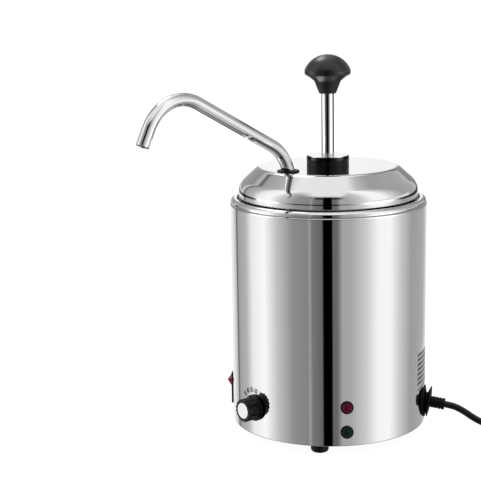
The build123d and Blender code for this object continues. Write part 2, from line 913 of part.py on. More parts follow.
lean = radians(rocker_tilt)
rocker_way = switch_plane.y_dir * cos(lean) + switch_plane.z_dir * sin(lean)
rocker_plane = Plane(origin=switch_plane.origin, x_dir=rocker_way, z_dir=switch_plane.x_dir)
half_rocker = rocker_height / 2
with BuildPart() as switch_rocker:
    with BuildSketch(rocker_plane):
        with BuildLine():
            Polyline(
                (rocker_barrel, 0),
                (half_rocker, 0),
                (half_rocker, rocker_end_rise),
                (0, rocker_middle_rise),
                (-half_rocker, rocker_end_rise),
                (-half_rocker, 0),
                (-rocker_barrel, 0),
            )
            ThreePointArc((-rocker_barrel, 0), (0, -rocker_barrel), (rocker_barrel, 0))
        make_face()
    extrude(amount=rocker_width / 2, both=True)
    with BuildSketch(rocker_plane):
        Circle(rocker_pin_radius)
    extrude(amount=rocker_width / 2 + rocker_pin_length, both=True)
keep(switch_rocker, "switch_rocker")

# Signal lamps: a body with a flange, a domed lens and a nut inside the shell
with BuildPart() as lamp_bodies:
    with BuildSketch(*lamp_planes):
        Circle(lamp_flange_radius)
    extrude(amount=lamp_flange_wall)
    with BuildSketch(*lamp_planes):
        Circle(lamp_stem_radius)
    extrude(amount=-lamp_stem_length)
keep(lamp_bodies, "lamp_bodies")


def lamp_lens(plane):
    """A domed lens on a lamp's flange: a cap of a sphere."""
    upright = Plane(origin=plane.origin, x_dir=plane.x_dir, z_dir=-plane.y_dir)
    top = lamp_flange_wall + lamp_lens_height
    with BuildPart() as piece:
        with BuildSketch(upright):
            with BuildLine():
                Polyline((0, top), (0, lamp_flange_wall), (lamp_lens_radius, lamp_flange_wall))
                add_dome(lamp_lens_radius, lamp_lens_height, top)
            make_face()
        revolve(axis=Axis(plane.origin, plane.z_dir))
    return piece


red_lamp_lens = lamp_lens(red_lamp_plane)
keep(red_lamp_lens, "red_lamp_lens")
green_lamp_lens = lamp_lens(green_lamp_plane)
keep(green_lamp_lens, "green_lamp_lens")

lamp_nut_reach = hex_radius(lamp_nut_flats)
lamp_nut_front = shell_wall + shell_inner - sqrt(shell_inner**2 - lamp_nut_reach**2)
with BuildPart() as lamp_nuts:
    with BuildSketch(*[plane.offset(-lamp_nut_front) for plane in lamp_planes]):
        RegularPolygon(lamp_nut_reach, 6)
        Circle(lamp_stem_radius + thread_fit, mode=Mode.SUBTRACT)
    extrude(amount=-lamp_nut_height)
keep(lamp_nuts, "lamp_nuts")

# Cord gland: a coned rubber flange that is moulded to the shell's curve, with its neck inside
gland_back = body_radius - sqrt(body_radius**2 - gland_radius**2)
gland_blank = turned(
    gland_plane,
    (0, -gland_back),
    (gland_radius, -gland_back),
    (gland_radius, gland_edge),
    (gland_hub_radius, gland_reach),
    (0, gland_reach),
)
with BuildPart() as gland_flange:
    add(gland_blank.part)
    with BuildSketch():
        Circle(body_radius + weld_gap)
    extrude(amount=shell_top, mode=Mode.SUBTRACT)
    with BuildSketch(gland_plane.offset(gland_reach / 2)):
        Circle(gland_neck_radius)
    extrude(amount=-(gland_neck_length + gland_reach / 2))
keep(gland_flange, "gland_flange")

gland_nut_reach = hex_radius(gland_nut_flats)
gland_nut_front = shell_wall + shell_inner - sqrt(shell_inner**2 - gland_nut_reach**2)
gland_nut = hex_nut(
    gland_plane,
    gland_nut_flats,
    gland_neck_radius + thread_fit,
    -gland_nut_front - gland_nut_height,
    -gland_nut_front,
)
keep(gland_nut, "gland_nut")

# Cord boot: a neck, a second coned flange and a ribbed sleeve, drooping under the cord's weight
gland_face = gland_plane.offset(gland_reach)
droop = radians(boot_droop)
boot_way = gland_plane.z_dir * cos(droop) - Vector(0, 0, sin(droop))
boot_plane = Plane(origin=gland_face.origin, x_dir=gland_plane.x_dir, z_dir=boot_way)
boot_flange_front = boot_flange_place + boot_flange_wall
boot_flange_end = boot_flange_front + boot_flange_crown
boot_end = boot_flange_end + boot_sleeve_length
boot_blank = turned(
    boot_plane,
    (0, -boot_neck_sink),
    (boot_neck_radius, -boot_neck_sink),
    (boot_neck_radius, boot_neck_rise),
    (boot_flange_radius, boot_flange_place),
    (boot_flange_radius, boot_flange_front),
    (boot_sleeve_radius, boot_flange_end),
    (0, boot_flange_end),
)
with BuildPart() as cord_boot:
    add(boot_blank.part)
    fillet(cord_boot.edges().filter_by(GeomType.CIRCLE).sort_by(SortBy.RADIUS)[-2:], boot_flange_round)
    with BuildSketch(boot_plane.offset(boot_flange_end)):
        Circle(boot_sleeve_radius)
    with BuildSketch(boot_plane.offset(boot_end)):
        Circle(boot_sleeve_end_radius)
    loft()
    for rib in range(boot_ribs):
        place = boot_flange_end + (rib + 1) * boot_sleeve_length / boot_ribs - boot_rib_width
        with BuildSketch(boot_plane.offset(place)):
            Circle(boot_sleeve_radius + boot_rib_height)
        extrude(amount=boot_rib_width)
    with BuildSketch(gland_face):
        Circle(2 * gland_radius)
    extrude(amount=-gland_radius, mode=Mode.SUBTRACT)
keep(cord_boot, "cord_boot")

# Mains cord, free stretch: from the boot down to the floor, in the gland's own upright plane
boot_tip = boot_plane.offset(boot_end).origin
coil_level = cord_radius + coil_floor
cord_points = [boot_tip, boot_tip + boot_way * cord_first_run]
for reach, drop in cord_free:
    cord_points.append(boot_tip + gland_plane.z_dir * reach + Vector(0, 0, drop))
for reach in cord_floor_reach:
    above_floor = boot_tip + gland_plane.z_dir * reach
    cord_points.append(Vector(above_floor.X, above_floor.Y, coil_level))
cord_rounds = largest_rounds(cord_points)
power_cord = rod_along(cord_points, cord_rounds, cord_radius)
keep(power_cord, "power_cord")
cord_section = pi * cord_radius**2
cord_free_length = power_cord.part.volume / cord_section
print("cord radii", [round(value, 1) for value in cord_rounds])

# Mains cord, coil: two layers that spiral in and out again, with the climb at the reversal
coil_outer = coil_inner + coil_pitch * coil_turns / 2
coil_reversal = pi * coil_turns
coil_entry = cord_points[-1] + gland_plane.z_dir * coil_lead
coil_side = gland_plane.x_dir
coil_centre = coil_entry + coil_side * coil_outer
entry_x = -coil_side
entry_y = gland_plane.z_dir


def coil_place(turn):
    """The coil's middle line: its radius falls to the reversal and grows again, and it climbs there."""
    radius = coil_inner + coil_pitch * abs(turn - coil_reversal) / (2 * pi)
    share = min(max((turn - coil_reversal) / pi + 0.5, 0), 1)
    climb = share * share * (3 - 2 * share)
    flat = entry_x * (radius * cos(turn)) + entry_y * (radius * sin(turn))
    return coil_centre + flat + Vector(0, 0, coil_pitch * climb)


def coil_way(turn):
    """The direction of the coil's middle line, from two near places on it."""
    small = 1e-4
    if abs(turn) < small:
        return entry_y
    return (coil_place(turn + small) - coil_place(turn - small)).normalized()


coil_count = round(coil_turns * coil_steps)
coil_angles = [2 * pi * coil_turns * step / coil_count for step in range(coil_count + 1)]
coil_points = [coil_place(turn) for turn in coil_angles]
coil_ways = [coil_way(turn) for turn in coil_angles]
coil_exit_way = Vector(coil_ways[-1].X, coil_ways[-1].Y, 0).normalized()
coil_ways[-1] = coil_exit_way
with BuildPart() as cord_coil:
    with BuildLine() as coil_route:
        Line(cord_points[-1], coil_entry)
        add_biarcs(coil_points, coil_ways)
        Line(coil_points[-1], coil_points[-1] + coil_exit_way * tail_run)
    with BuildSketch(Plane(origin=cord_points[-1], z_dir=gland_plane.z_dir)):
        Circle(cord_radius)
    sweep(path=coil_route.line)
keep(cord_coil, "cord_coil")
coil_wire = coil_route.wire()
coil_length = coil_wire.length
gap_steps = 600
gap_points = [coil_wire @ (step / gap_steps) for step in range(gap_steps + 1)]
gap_skip = round(gap_steps * 8 * cord_radius / coil_length)
print("coil least gap", round(least_gap(gap_points, 2 * cord_radius, gap_skip), 2))
print("coil volume over section times length", round(cord_coil.part.volume / (cord_section * coil_length), 4))
print("cord length", round(cord_free_length + coil_length, 1))

# Plug with two round pins, lying beside the coil
plug_face = coil_points[-1] + coil_exit_way * (tail_run + weld_gap)
plug_plane = Plane(origin=plug_face, x_dir=(coil_exit_way.Y, -coil_exit_way.X, 0), z_dir=coil_exit_way)
with BuildPart() as cord_plug:
    with BuildSketch(plug_plane):
        Circle(plug_neck_radius)
    with BuildSketch(plug_plane.offset(plug_neck_length)):
        Circle(plug_neck_end_radius)
    loft()
    with BuildSketch(plug_plane.offset(plug_neck_length)):
        RectangleRounded(2 * plug_radius, 2 * plug_face.Z, plug_round)
    extrude(amount=plug_length - plug_neck_length)
keep(cord_plug, "cord_plug")

with BuildPart() as plug_pins:
    with BuildSketch(plug_plane.offset(plug_length)):
        with Locations((pin_pitch / 2, 0), (-pin_pitch / 2, 0)):
            Circle(pin_radius)
    extrude(amount=pin_length)
    fillet(plug_pins.faces().sort_by(Axis(plug_face, coil_exit_way))[-2:].edges(), pin_radius / 2)
keep(plug_pins, "plug_pins")

# Tie: a strap round the coil's turns
tie_turn = radians(tie_angle)
tie_way = entry_x * cos(tie_turn) + entry_y * sin(tie_turn)
tie_inner = coil_inner - cord_radius - tie_gap
tie_outer = coil_outer + cord_radius + tie_gap
tie_top = coil_level + coil_pitch + cord_radius + tie_gap / 2
tie_plane = Plane(
    origin=Vector(coil_centre.X, coil_centre.Y, 0),
    x_dir=tie_way,
    z_dir=tie_way.cross(Vector(0, 0, 1)),
)
with BuildPart() as cord_tie:
    with BuildSketch(tie_plane):
        with BuildLine():
            Polyline(
                (tie_inner - tie_wall, 0),
                (tie_outer + tie_wall, 0),
                (tie_outer + tie_wall, tie_top + tie_wall),
                (tie_inner - tie_wall, tie_top + tie_wall),
                close=True,
            )
        make_face()
        with BuildLine():
            Polyline(
                (tie_inner, tie_wall),
                (tie_outer, tie_wall),
                (tie_outer, tie_top),
                (tie_inner, tie_top),
                close=True,
            )
        make_face(mode=Mode.SUBTRACT)
    extrude(amount=tie_width / 2, both=True)
keep(cord_tie, "cord_tie")

# Terminal block on the base plate, with its screws
block_front = block_y - block_width / 2
block_rear = block_y + block_width / 2
pole_shifts = [(pole - (block_poles - 1) / 2) * block_pitch for pole in range(block_poles)]
pole_places = [(block_x + shift, block_y) for shift in pole_shifts]
with BuildPart() as terminal_block:
    with BuildSketch(Plane.XY.offset(plate_top)):
        with Locations((block_x, block_y)):
            RectangleRounded(block_length, block_width, block_round)
    extrude(amount=block_height)
    with BuildSketch(Plane.XY.offset(plate_top + block_height)):
        with Locations(*pole_places):
            Circle(block_screw_radius + thread_fit)
    extrude(amount=-block_screw_depth, mode=Mode.SUBTRACT)
keep(terminal_block, "terminal_block")

with BuildPart() as block_screws:
    with BuildSketch(Plane.XY.offset(plate_top + block_height - block_screw_depth)):
        with Locations(*pole_places):
            Circle(block_screw_radius)
    extrude(amount=block_screw_depth / 2)
keep(block_screws, "block_screws")

# Wires: each runs straight out of one terminal and straight into another
pole_level = plate_top + block_height / 2
front_way = Vector(0, -1, 0)
down = Vector(0, 0, -1)
tail_face = gland_plane.offset(-gland_neck_length - weld_gap)
tail_spread = cord_radius - wire_radius
poles_rear = [Vector(place[0], block_rear, pole_level) for place in pole_places]
poles_front = [Vector(place[0], block_front, pole_level) for place in pole_places]
switch_blade_end = -switch_body_depth - blade_length
switch_in = switch_plane.from_local_coords((0, switch_body_height / 4, switch_blade_end))
switch_out = switch_plane.from_local_coords((0, -switch_body_height / 4, switch_blade_end))
thermostat_blade_end = -thermostat_back - blade_length
thermostat_in = knob_plane.from_local_coords((-thermostat_blade_x, 0, thermostat_blade_end))
thermostat_out = knob_plane.from_local_coords((thermostat_blade_x, 0, thermostat_blade_end))
heater_blade_end = post_under - blade_length
heater_live = Vector(heater_post_x, heater_post_y, heater_blade_end)
heater_neutral = Vector(-heater_post_x, heater_post_y, heater_blade_end)
cutout_blade_end = cutout_under - blade_length
cutout_in = Vector(-cutout_radius / 2, cutout_place, cutout_blade_end)
cutout_out = Vector(cutout_radius / 2, cutout_place, cutout_blade_end)
earth_foot = Vector(earth_x - screw_nut_flats, earth_y, plate_top)


def wire(start, start_way, start_lead, end, end_way, end_lead):
    """A wire between two terminals, with a straight lead of a given length at each."""
    points = [start, start + start_way * start_lead, end + end_way * end_lead, end]
    return bent_wire(points, wire_bend, wire_radius)


# The cord's live, neutral and earth wires, then the circuit through switch, thermostat, heater and cut-out
tail_way = -gland_plane.z_dir
rear_way = -front_way
live_tail = tail_face.from_local_coords((tail_spread, 0, 0))
neutral_tail = tail_face.from_local_coords((0, tail_spread, 0))
earth_tail = tail_face.from_local_coords((-tail_spread, 0, 0))
wires = [
    wire(live_tail, tail_way, wire_short_lead, poles_rear[1], rear_way, wire_far_lead),
    wire(neutral_tail, tail_way, wire_lead, poles_rear[2], rear_way, wire_short_lead),
    wire(earth_tail, tail_way, wire_long_lead, earth_foot, -down, wire_lead),
    wire(poles_front[1], front_way, wire_short_lead, switch_in, -switch_plane.z_dir, wire_long_lead),
    wire(switch_out, -switch_plane.z_dir, wire_lead, thermostat_in, -knob_plane.z_dir, wire_lead),
    wire(thermostat_out, -knob_plane.z_dir, wire_lead, heater_live, down, wire_lead),
    wire(heater_neutral, down, wire_lead, cutout_in, down, wire_short_lead),
    wire(poles_front[2], front_way, wire_long_lead, cutout_out, down, wire_lead),
]

# Leads of the two lamps, to the side of the block
for index, plane in enumerate(lamp_planes):
    lamp_back = plane.from_local_coords((0, 0, -lamp_stem_length))
    lead_end = Vector(block_x + block_length / 2, block_y, pole_level - index * lead_pitch)
    wires.append(wire(lamp_back, -plane.z_dir, wire_lead, lead_end, Vector(1, 0, 0), wire_lead))
with BuildPart() as inner_wires:
    for piece in wires:
        add(piece.part)
keep(inner_wires, "inner_wires")
print("wires", len(wires), "solids", len(inner_wires.part.solids()))

# Sauce jar
jar_path = [(rim_bore - jar_flange_gap, jar_top), (jar_bore, jar_top), (jar_bore, jar_floor), (0, jar_floor)]
jar_section = sheet_section(jar_path, [jar_rim_round, jar_corner], jar_wall)
with BuildPart() as sauce_jar:
    with BuildSketch(Plane.XZ):
        make_face(jar_section)
    revolve(axis=Axis.Z)
keep(sauce_jar, "sauce_jar")

# Spout's middle line in the plane x = 0
rise = radians(spout_rise_angle)
drop = radians(spout_drop_angle)
low_bend_end = Vector(
    0,
    -spout_offset - spout_bend_radius * (1 - sin(rise)),
    spout_bend_start + spout_bend_radius * cos(rise),
)
run_end = low_bend_end + Vector(0, -cos(rise), sin(rise)) * spout_run
high_centre = run_end + Vector(0, -sin(rise), -cos(rise)) * spout_bend_radius
high_bend_end = high_centre + Vector(0, -sin(drop), cos(drop)) * spout_bend_radius
spout_end = high_bend_end + Vector(0, -cos(drop), -sin(drop)) * spout_tip
print("spout reach", round(-spout_end.Y, 1), "tip height", round(spout_end.Z, 1))
with BuildLine() as spout_line:
    Line((0, -spout_offset, tube_end), (0, -spout_offset, spout_bend_start))
    TangentArc((0, -spout_offset, spout_bend_start), low_bend_end, tangent=(0, 0, 1))
    Line(low_bend_end, run_end)
    TangentArc(run_end, high_bend_end, tangent=(0, -cos(rise), sin(rise)))
    Line(high_bend_end, spout_end)
spout_foot = Plane(origin=(0, -spout_offset, tube_end))

# Lid
lid_path = [
    (lid_radius - lid_tuck, lid_foot),
    (lid_radius - lid_tuck, rim_top + lid_lip_rise),
    (lid_radius, rim_top + lid_lip_rise),
    (lid_radius, rim_top + lid_shoulder_rise),
    (lid_flat_radius, lid_top),
    (0, lid_top),
]
grommet_lean = lid_top - spout_bend_start
grommet_place = spout_offset + spout_bend_radius - sqrt(spout_bend_radius**2 - grommet_lean**2)
lid_rounds = [lid_tuck_round, lid_lip_round, lid_shoulder_round, lid_edge_round]
lid_section = sheet_section(lid_path, lid_rounds, lid_wall)
with BuildPart() as lid:
    with BuildSketch(Plane.XZ):
        make_face(lid_section)
    revolve(axis=Axis.Z)
    with BuildSketch(Plane.XY.offset(lid_top)):
        Circle(cylinder_radius + hole_gap)
        with Locations((0, -grommet_place)):
            Circle(grommet_hole)
    extrude(amount=-2 * lid_wall, mode=Mode.SUBTRACT)
keep(lid, "lid")

# Spout tube
with BuildPart() as spout_tube:
    with BuildSketch(spout_foot):
        Circle(spout_radius)
        Circle(spout_radius - spout_wall, mode=Mode.SUBTRACT)
    sweep(path=spout_line.line)
keep(spout_tube, "spout_tube")

# Grommet: a domed ring above the lid, a neck through it and a flange under it
grommet_plane = Plane(origin=(0, -grommet_place, lid_top))
grommet_edge = Vector(grommet_radius, grommet_side)
grommet_brim = Vector(grommet_top_radius, grommet_height)
grommet_slope = grommet_brim - grommet_edge
grommet_side_way = Vector(grommet_slope.Y, -grommet_slope.X).normalized()
grommet_crown = (grommet_edge + grommet_brim) / 2 + grommet_side_way * grommet_bow
with BuildPart() as grommet_blank:
    with BuildSketch(Plane(origin=grommet_plane.origin, x_dir=(1, 0, 0), z_dir=(0, -1, 0))):
        with BuildLine():
            Polyline(
                (0, grommet_height),
                (0, -lid_wall - grommet_under),
                (grommet_under_radius, -lid_wall - grommet_under),
                (grommet_under_radius, -lid_wall),
                (grommet_hole - weld_gap, -lid_wall),
                (grommet_hole - weld_gap, 0),
                (grommet_radius, 0),
                grommet_edge,
            )
            ThreePointArc(grommet_edge, grommet_crown, grommet_brim)
            Line(grommet_brim, (0, grommet_height))
        make_face()
    revolve(axis=Axis(grommet_plane.origin, grommet_plane.z_dir))
with BuildPart() as grommet_cutter:
    with BuildSketch(spout_foot):
        Circle(spout_radius + hole_gap)
    sweep(path=spout_line.line)
with BuildPart() as spout_grommet:
    add(grommet_blank.part)
    add(grommet_cutter.part, mode=Mode.SUBTRACT)
keep(spout_grommet, "spout_grommet")

# Pump collar: a cap nut on the cylinder's neck, with a groove round it and a bright disc on its top
disc_under = collar_top - collar_disc_wall
groove_low = lid_top + collar_groove_rise
groove_high = groove_low + collar_groove_height
groove_floor = collar_radius - collar_groove_depth
collar_blank = turned(
    Plane.XY,
    (cylinder_radius + thread_fit, lid_top),
    (collar_radius, lid_top),
    (collar_radius, groove_low),
    (groove_floor, groove_low),
    (groove_floor, groove_high),
    (collar_radius, groove_high),
    (collar_radius, disc_under),
    (rod_radius + loose_gap, disc_under),
    (rod_radius + loose_gap, roof_under),
    (cylinder_radius + thread_fit, roof_under),
)
with BuildPart() as pump_collar:
    add(collar_blank.part)
    outer_edges = pump_collar.edges().filter_by(GeomType.CIRCLE).group_by(SortBy.RADIUS)[-1]
    fillet(outer_edges.sort_by(Axis.Z)[-1], collar_edge_round)
keep(pump_collar, "pump_collar")

collar_disc = ring(Plane.XY, rod_radius + loose_gap, collar_disc_radius, disc_under, collar_top)
keep(collar_disc, "collar_disc")

# Pump cylinder with its flange, gasket and bush
pump_cylinder = turned(
    Plane.XY,
    (cylinder_bore, cylinder_end),
    (cylinder_radius, cylinder_end),
    (cylinder_radius, flange_under),
    (flange_radius, flange_under),
    (flange_radius, flange_top),
    (cylinder_radius, flange_top),
    (cylinder_radius, cylinder_top),
    (cylinder_bore, cylinder_top),
)
keep(pump_cylinder, "pump_cylinder")

lid_gasket = ring(Plane.XY, cylinder_radius + thread_fit, flange_radius, flange_top, lid_under)
keep(lid_gasket, "lid_gasket")

rod_bush = turned(
    Plane.XY,
    (rod_radius + running_fit, bush_end),
    (cylinder_bore - running_fit, bush_end),
    (cylinder_bore - running_fit, cylinder_top),
    (cylinder_radius, cylinder_top),
    (cylinder_radius, roof_under),
    (rod_radius + running_fit, roof_under),
)
keep(rod_bush, "rod_bush")

# Plunger: rod, knob, piston, seal and nut
nut_under = piston_under - piston_nut_height
plunger_rod = turned(
    Plane.XY,
    (0, nut_under - screw_tail),
    (piston_stud_radius, nut_under - screw_tail),
    (piston_stud_radius, piston_top),
    (rod_radius, piston_top),
    (rod_radius, knob_foot + knob_socket),
    (0, knob_foot + knob_socket),
)
keep(plunger_rod, "plunger_rod")

knob_top = knob_foot + knob_height
knob_socket_top = knob_foot + knob_socket
knob_neck = Vector(knob_neck_radius, knob_foot + knob_neck_height)
knob_under = Vector(knob_radius - knob_under_inset, knob_foot + knob_rim_low)
knob_edge = Vector(knob_radius - knob_edge_inset, knob_foot + knob_rim_high)
cove_chord = knob_under - knob_neck
cove_side = Vector(-cove_chord.Y, cove_chord.X).normalized()
with BuildPart() as plunger_knob:
    with BuildSketch(Plane.XZ):
        with BuildLine():
            Polyline(
                (0, knob_top),
                (0, knob_socket_top),
                (rod_radius + thread_fit, knob_socket_top),
                (rod_radius + thread_fit, knob_foot),
                (knob_foot_radius, knob_foot),
                knob_neck,
            )
            ThreePointArc(knob_neck, (knob_neck + knob_under) / 2 + cove_side * knob_cove, knob_under)
            ThreePointArc(knob_under, (knob_radius, (knob_under.Y + knob_edge.Y) / 2), knob_edge)
            add_dome(knob_edge.X, knob_top - knob_edge.Y, knob_top)
        make_face()
    revolve(axis=Axis.Z)
keep(plunger_knob, "plunger_knob")

piston_radius = cylinder_bore - piston_gap
seal_low = piston_under + (piston_height - seal_height) / 2
seal_high = seal_low + seal_height
seal_inner = cylinder_bore - seal_depth
piston = turned(
    Plane.XY,
    (piston_stud_radius + thread_fit, piston_under),
    (piston_radius, piston_under),
    (piston_radius, seal_low),
    (seal_inner, seal_low),
    (seal_inner, seal_high),
    (piston_radius, seal_high),
    (piston_radius, piston_top),
    (piston_stud_radius + thread_fit, piston_top),
)
keep(piston, "piston")

piston_seal = ring(
    Plane.XY,
    seal_inner + weld_gap,
    cylinder_bore - running_fit,
    seal_low + weld_gap,
    seal_high - weld_gap,
)
keep(piston_seal, "piston_seal")

piston_nut = hex_nut(
    Plane.XY, piston_nut_flats, piston_stud_radius + thread_fit, nut_under, piston_under
)
keep(piston_nut, "piston_nut")

# Return spring between the valve body and the piston
spring_low = cylinder_end + spring_wire + resting_gap
spring_high = piston_under - spring_wire - resting_gap
spring_steps = spring_turns * 4
spring_angles = [step * pi / 2 for step in range(spring_steps + 1)]
spring_climb = (spring_high - spring_low) / spring_angles[-1]
spring_points = [
    Vector(spring_radius * cos(turn), spring_radius * sin(turn), spring_low + spring_climb * turn)
    for turn in spring_angles
]
spring_ways = [
    Vector(-spring_radius * sin(turn), spring_radius * cos(turn), spring_climb).normalized()
    for turn in spring_angles
]
with BuildPart() as return_spring:
    with BuildLine() as spring_route:
        add_biarcs(spring_points, spring_ways)
    with BuildSketch(Plane(origin=spring_points[0], z_dir=spring_ways[0])):
        Circle(spring_wire)
    sweep(path=spring_route.line)
keep(return_spring, "return_spring")
spring_gap = spring_climb * 2 * pi - 2 * spring_wire
print("spring gap at rest", round(spring_gap, 2), "pressed", round(spring_gap - stroke / spring_turns, 2))

# Valve body: a socket for the cylinder, a ball chamber, an inlet and a boss for the elbow
valve_radius = cylinder_radius + valve_socket_wall
valve_blank = turned(
    Plane.XY,
    (inlet_bore, valve_bottom),
    (valve_radius, valve_bottom),
    (valve_radius, cylinder_end + valve_socket_depth),
    (cylinder_radius + thread_fit, cylinder_end + valve_socket_depth),
    (cylinder_radius + thread_fit, cylinder_end),
    (valve_chamber_radius, cylinder_end),
    (valve_chamber_radius, chamber_floor),
    (inlet_bore, chamber_floor),
)
port_plane = Plane(origin=(0, 0, port_level), x_dir=(1, 0, 0), z_dir=(0, -1, 0))
inlet_ball_level = chamber_floor + sqrt(inlet_ball_radius**2 - inlet_bore**2) + loose_gap
inlet_pin_level = inlet_ball_level + inlet_ball_radius + ball_lift + loose_gap + stop_pin_radius
outlet_ball_level = outlet_seat + sqrt(outlet_ball_radius**2 - port_bore**2) + loose_gap
outlet_pin_level = outlet_ball_level + outlet_ball_radius + ball_lift + loose_gap + stop_pin_radius
inlet_pin_plane = Plane(origin=(0, 0, inlet_pin_level), x_dir=(0, 1, 0), z_dir=(1, 0, 0))
outlet_pin_plane = Plane(origin=(0, -spout_offset, outlet_pin_level), x_dir=(0, 1, 0), z_dir=(1, 0, 0))
with BuildPart() as valve_body:
    add(valve_blank.part)
    with BuildSketch(port_plane.offset(valve_chamber_radius + port_bore)):
        Circle(boss_radius)
    extrude(amount=boss_reach - valve_chamber_radius - port_bore)
    with BuildSketch(port_plane):
        Circle(port_bore)
    extrude(amount=boss_reach, mode=Mode.SUBTRACT)
    with BuildSketch(inlet_pin_plane):
        Circle(stop_pin_radius + weld_gap)
    extrude(amount=valve_radius, both=True, mode=Mode.SUBTRACT)
keep(valve_body, "valve_body")

# Outlet elbow: level from the boss, then up to the spout, with a ball seat in its upright leg
leg_plane = Plane(origin=(0, -spout_offset, 0))
with BuildPart() as outlet_elbow:
    with BuildSketch(port_plane.offset(boss_reach)):
        Circle(elbow_radius)
    extrude(amount=spout_offset - boss_reach)
    with BuildSketch(leg_plane.offset(port_level - elbow_socket_radius)):
        Circle(elbow_socket_radius)
    extrude(amount=elbow_top - port_level + elbow_socket_radius)
    with BuildSketch(port_plane.offset(boss_reach)):
        Circle(port_bore)
    extrude(amount=spout_offset - boss_reach, mode=Mode.SUBTRACT)
    with BuildSketch(leg_plane.offset(port_level)):
        Circle(port_bore)
    extrude(amount=outlet_seat_rise, mode=Mode.SUBTRACT)
    with BuildSketch(leg_plane.offset(outlet_seat)):
        Circle(outlet_chamber_radius)
    extrude(amount=outlet_chamber_height, mode=Mode.SUBTRACT)
    with BuildSketch(leg_plane.offset(tube_end)):
        Circle(spout_radius + thread_fit)
    extrude(amount=tube_socket, mode=Mode.SUBTRACT)
    with BuildSketch(outlet_pin_plane):
        Circle(stop_pin_radius + weld_gap)
    extrude(amount=elbow_socket_radius, both=True, mode=Mode.SUBTRACT)
keep(outlet_elbow, "outlet_elbow")

# Stop pins over the two balls
with BuildPart() as ball_stop_pins:
    with BuildSketch(inlet_pin_plane):
        Circle(stop_pin_radius)
    extrude(amount=valve_radius, both=True)
    with BuildSketch(outlet_pin_plane):
        Circle(stop_pin_radius)
    extrude(amount=elbow_socket_radius, both=True)
keep(ball_stop_pins, "ball_stop_pins")

with BuildPart() as inlet_ball:
    with Locations((0, 0, inlet_ball_level)):
        Sphere(inlet_ball_radius)
keep(inlet_ball, "inlet_ball")

with BuildPart() as outlet_ball:
    with Locations((0, -spout_offset, outlet_ball_level)):
        Sphere(outlet_ball_radius)
keep(outlet_ball, "outlet_ball")

# Union: a seal on the elbow's end and a nut over both
seal_top = elbow_top + union_seal_wall
union_seal = ring(leg_plane, spout_radius + thread_fit, elbow_socket_radius, elbow_top, seal_top)
keep(union_seal, "union_seal")

union_top = seal_top + union_roof
with BuildPart() as union_nut:
    with BuildSketch(leg_plane.offset(union_top - union_height)):
        RegularPolygon(hex_radius(union_flats), 6)
        Circle(spout_radius + thread_fit, mode=Mode.SUBTRACT)
    extrude(amount=union_height)
    with BuildSketch(leg_plane.offset(union_top - union_height)):
        Circle(elbow_socket_radius + thread_fit)
    extrude(amount=union_height - union_roof, mode=Mode.SUBTRACT)
keep(union_nut, "union_nut")
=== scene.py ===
# %% [markdown]
# # A heated sauce dispenser
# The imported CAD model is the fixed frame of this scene. Every piece below is made in its place, in metres,
# and rides on one of the frame's bodies, so that it moves when a joint moves.

# %% Load the frame
import json
from math import atan2, cos, pi, radians, sin

import bmesh
import bpy
import numpy as np
from mathutils import Matrix, Vector


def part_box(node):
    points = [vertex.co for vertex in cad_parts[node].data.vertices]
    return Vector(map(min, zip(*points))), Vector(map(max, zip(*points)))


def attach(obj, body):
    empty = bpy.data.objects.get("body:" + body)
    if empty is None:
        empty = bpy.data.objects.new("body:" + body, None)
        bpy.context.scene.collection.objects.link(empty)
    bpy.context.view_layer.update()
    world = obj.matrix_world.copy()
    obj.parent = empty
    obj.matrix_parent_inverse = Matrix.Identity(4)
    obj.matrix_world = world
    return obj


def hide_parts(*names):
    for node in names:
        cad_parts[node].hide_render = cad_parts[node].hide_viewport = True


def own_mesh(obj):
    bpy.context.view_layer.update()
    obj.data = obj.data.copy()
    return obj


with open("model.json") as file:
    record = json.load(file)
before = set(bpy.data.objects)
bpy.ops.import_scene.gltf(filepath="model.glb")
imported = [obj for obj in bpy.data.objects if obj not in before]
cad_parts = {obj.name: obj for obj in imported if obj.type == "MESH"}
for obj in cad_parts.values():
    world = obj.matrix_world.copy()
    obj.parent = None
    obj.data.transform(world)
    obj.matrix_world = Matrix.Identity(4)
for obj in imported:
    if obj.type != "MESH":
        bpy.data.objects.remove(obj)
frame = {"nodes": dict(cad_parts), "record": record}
nodes = frame["nodes"]
scene = bpy.context.scene
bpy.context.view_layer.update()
MM = 0.001

# %% [markdown]
# ## Camera
# The camera stands 1.3 m from the pot's axis and looks slightly down with a long lens, as in a product
# picture. Its three directions come from its yaw, pitch and roll, and the whole view is turned about the
# pot's axis so that the spout points to the left. The place and the angles were fitted to the pot's
# outline.

# %% Camera
VIEW_AZIMUTH = radians(43.4)
FOOT_HEIGHT = 9.0
EYE_BACK, EYE_HEIGHT = 1300.0, 441.8
YAW, PITCH, ROLL = radians(-3.77), radians(11.53), radians(-0.96)
FOCAL_PIXELS, LONG_SIDE, SENSOR = 1357.2, 484, 36.0

look = Vector((sin(YAW) * cos(PITCH), cos(YAW) * cos(PITCH), -sin(PITCH)))
level_right = Vector((cos(YAW), -sin(YAW), 0))
level_up = level_right.cross(look)
right = level_right * cos(ROLL) + level_up * sin(ROLL)
up = level_up * cos(ROLL) - level_right * sin(ROLL)
stand = Matrix((right, up, -look)).transposed().to_4x4()
stand.translation = Vector((0, -EYE_BACK, EYE_HEIGHT + FOOT_HEIGHT)) * MM
camera = bpy.data.objects.new("camera", bpy.data.cameras.new("camera"))
camera.data.sensor_width = SENSOR
camera.data.lens = FOCAL_PIXELS / LONG_SIDE * SENSOR
camera.data.clip_start, camera.data.clip_end = 0.05, 50
camera.matrix_world = Matrix.Rotation(VIEW_AZIMUTH, 4, "Z") @ stand
scene.collection.objects.link(camera)
scene.camera = camera
print("camera at", [round(v, 3) for v in camera.matrix_world.translation])

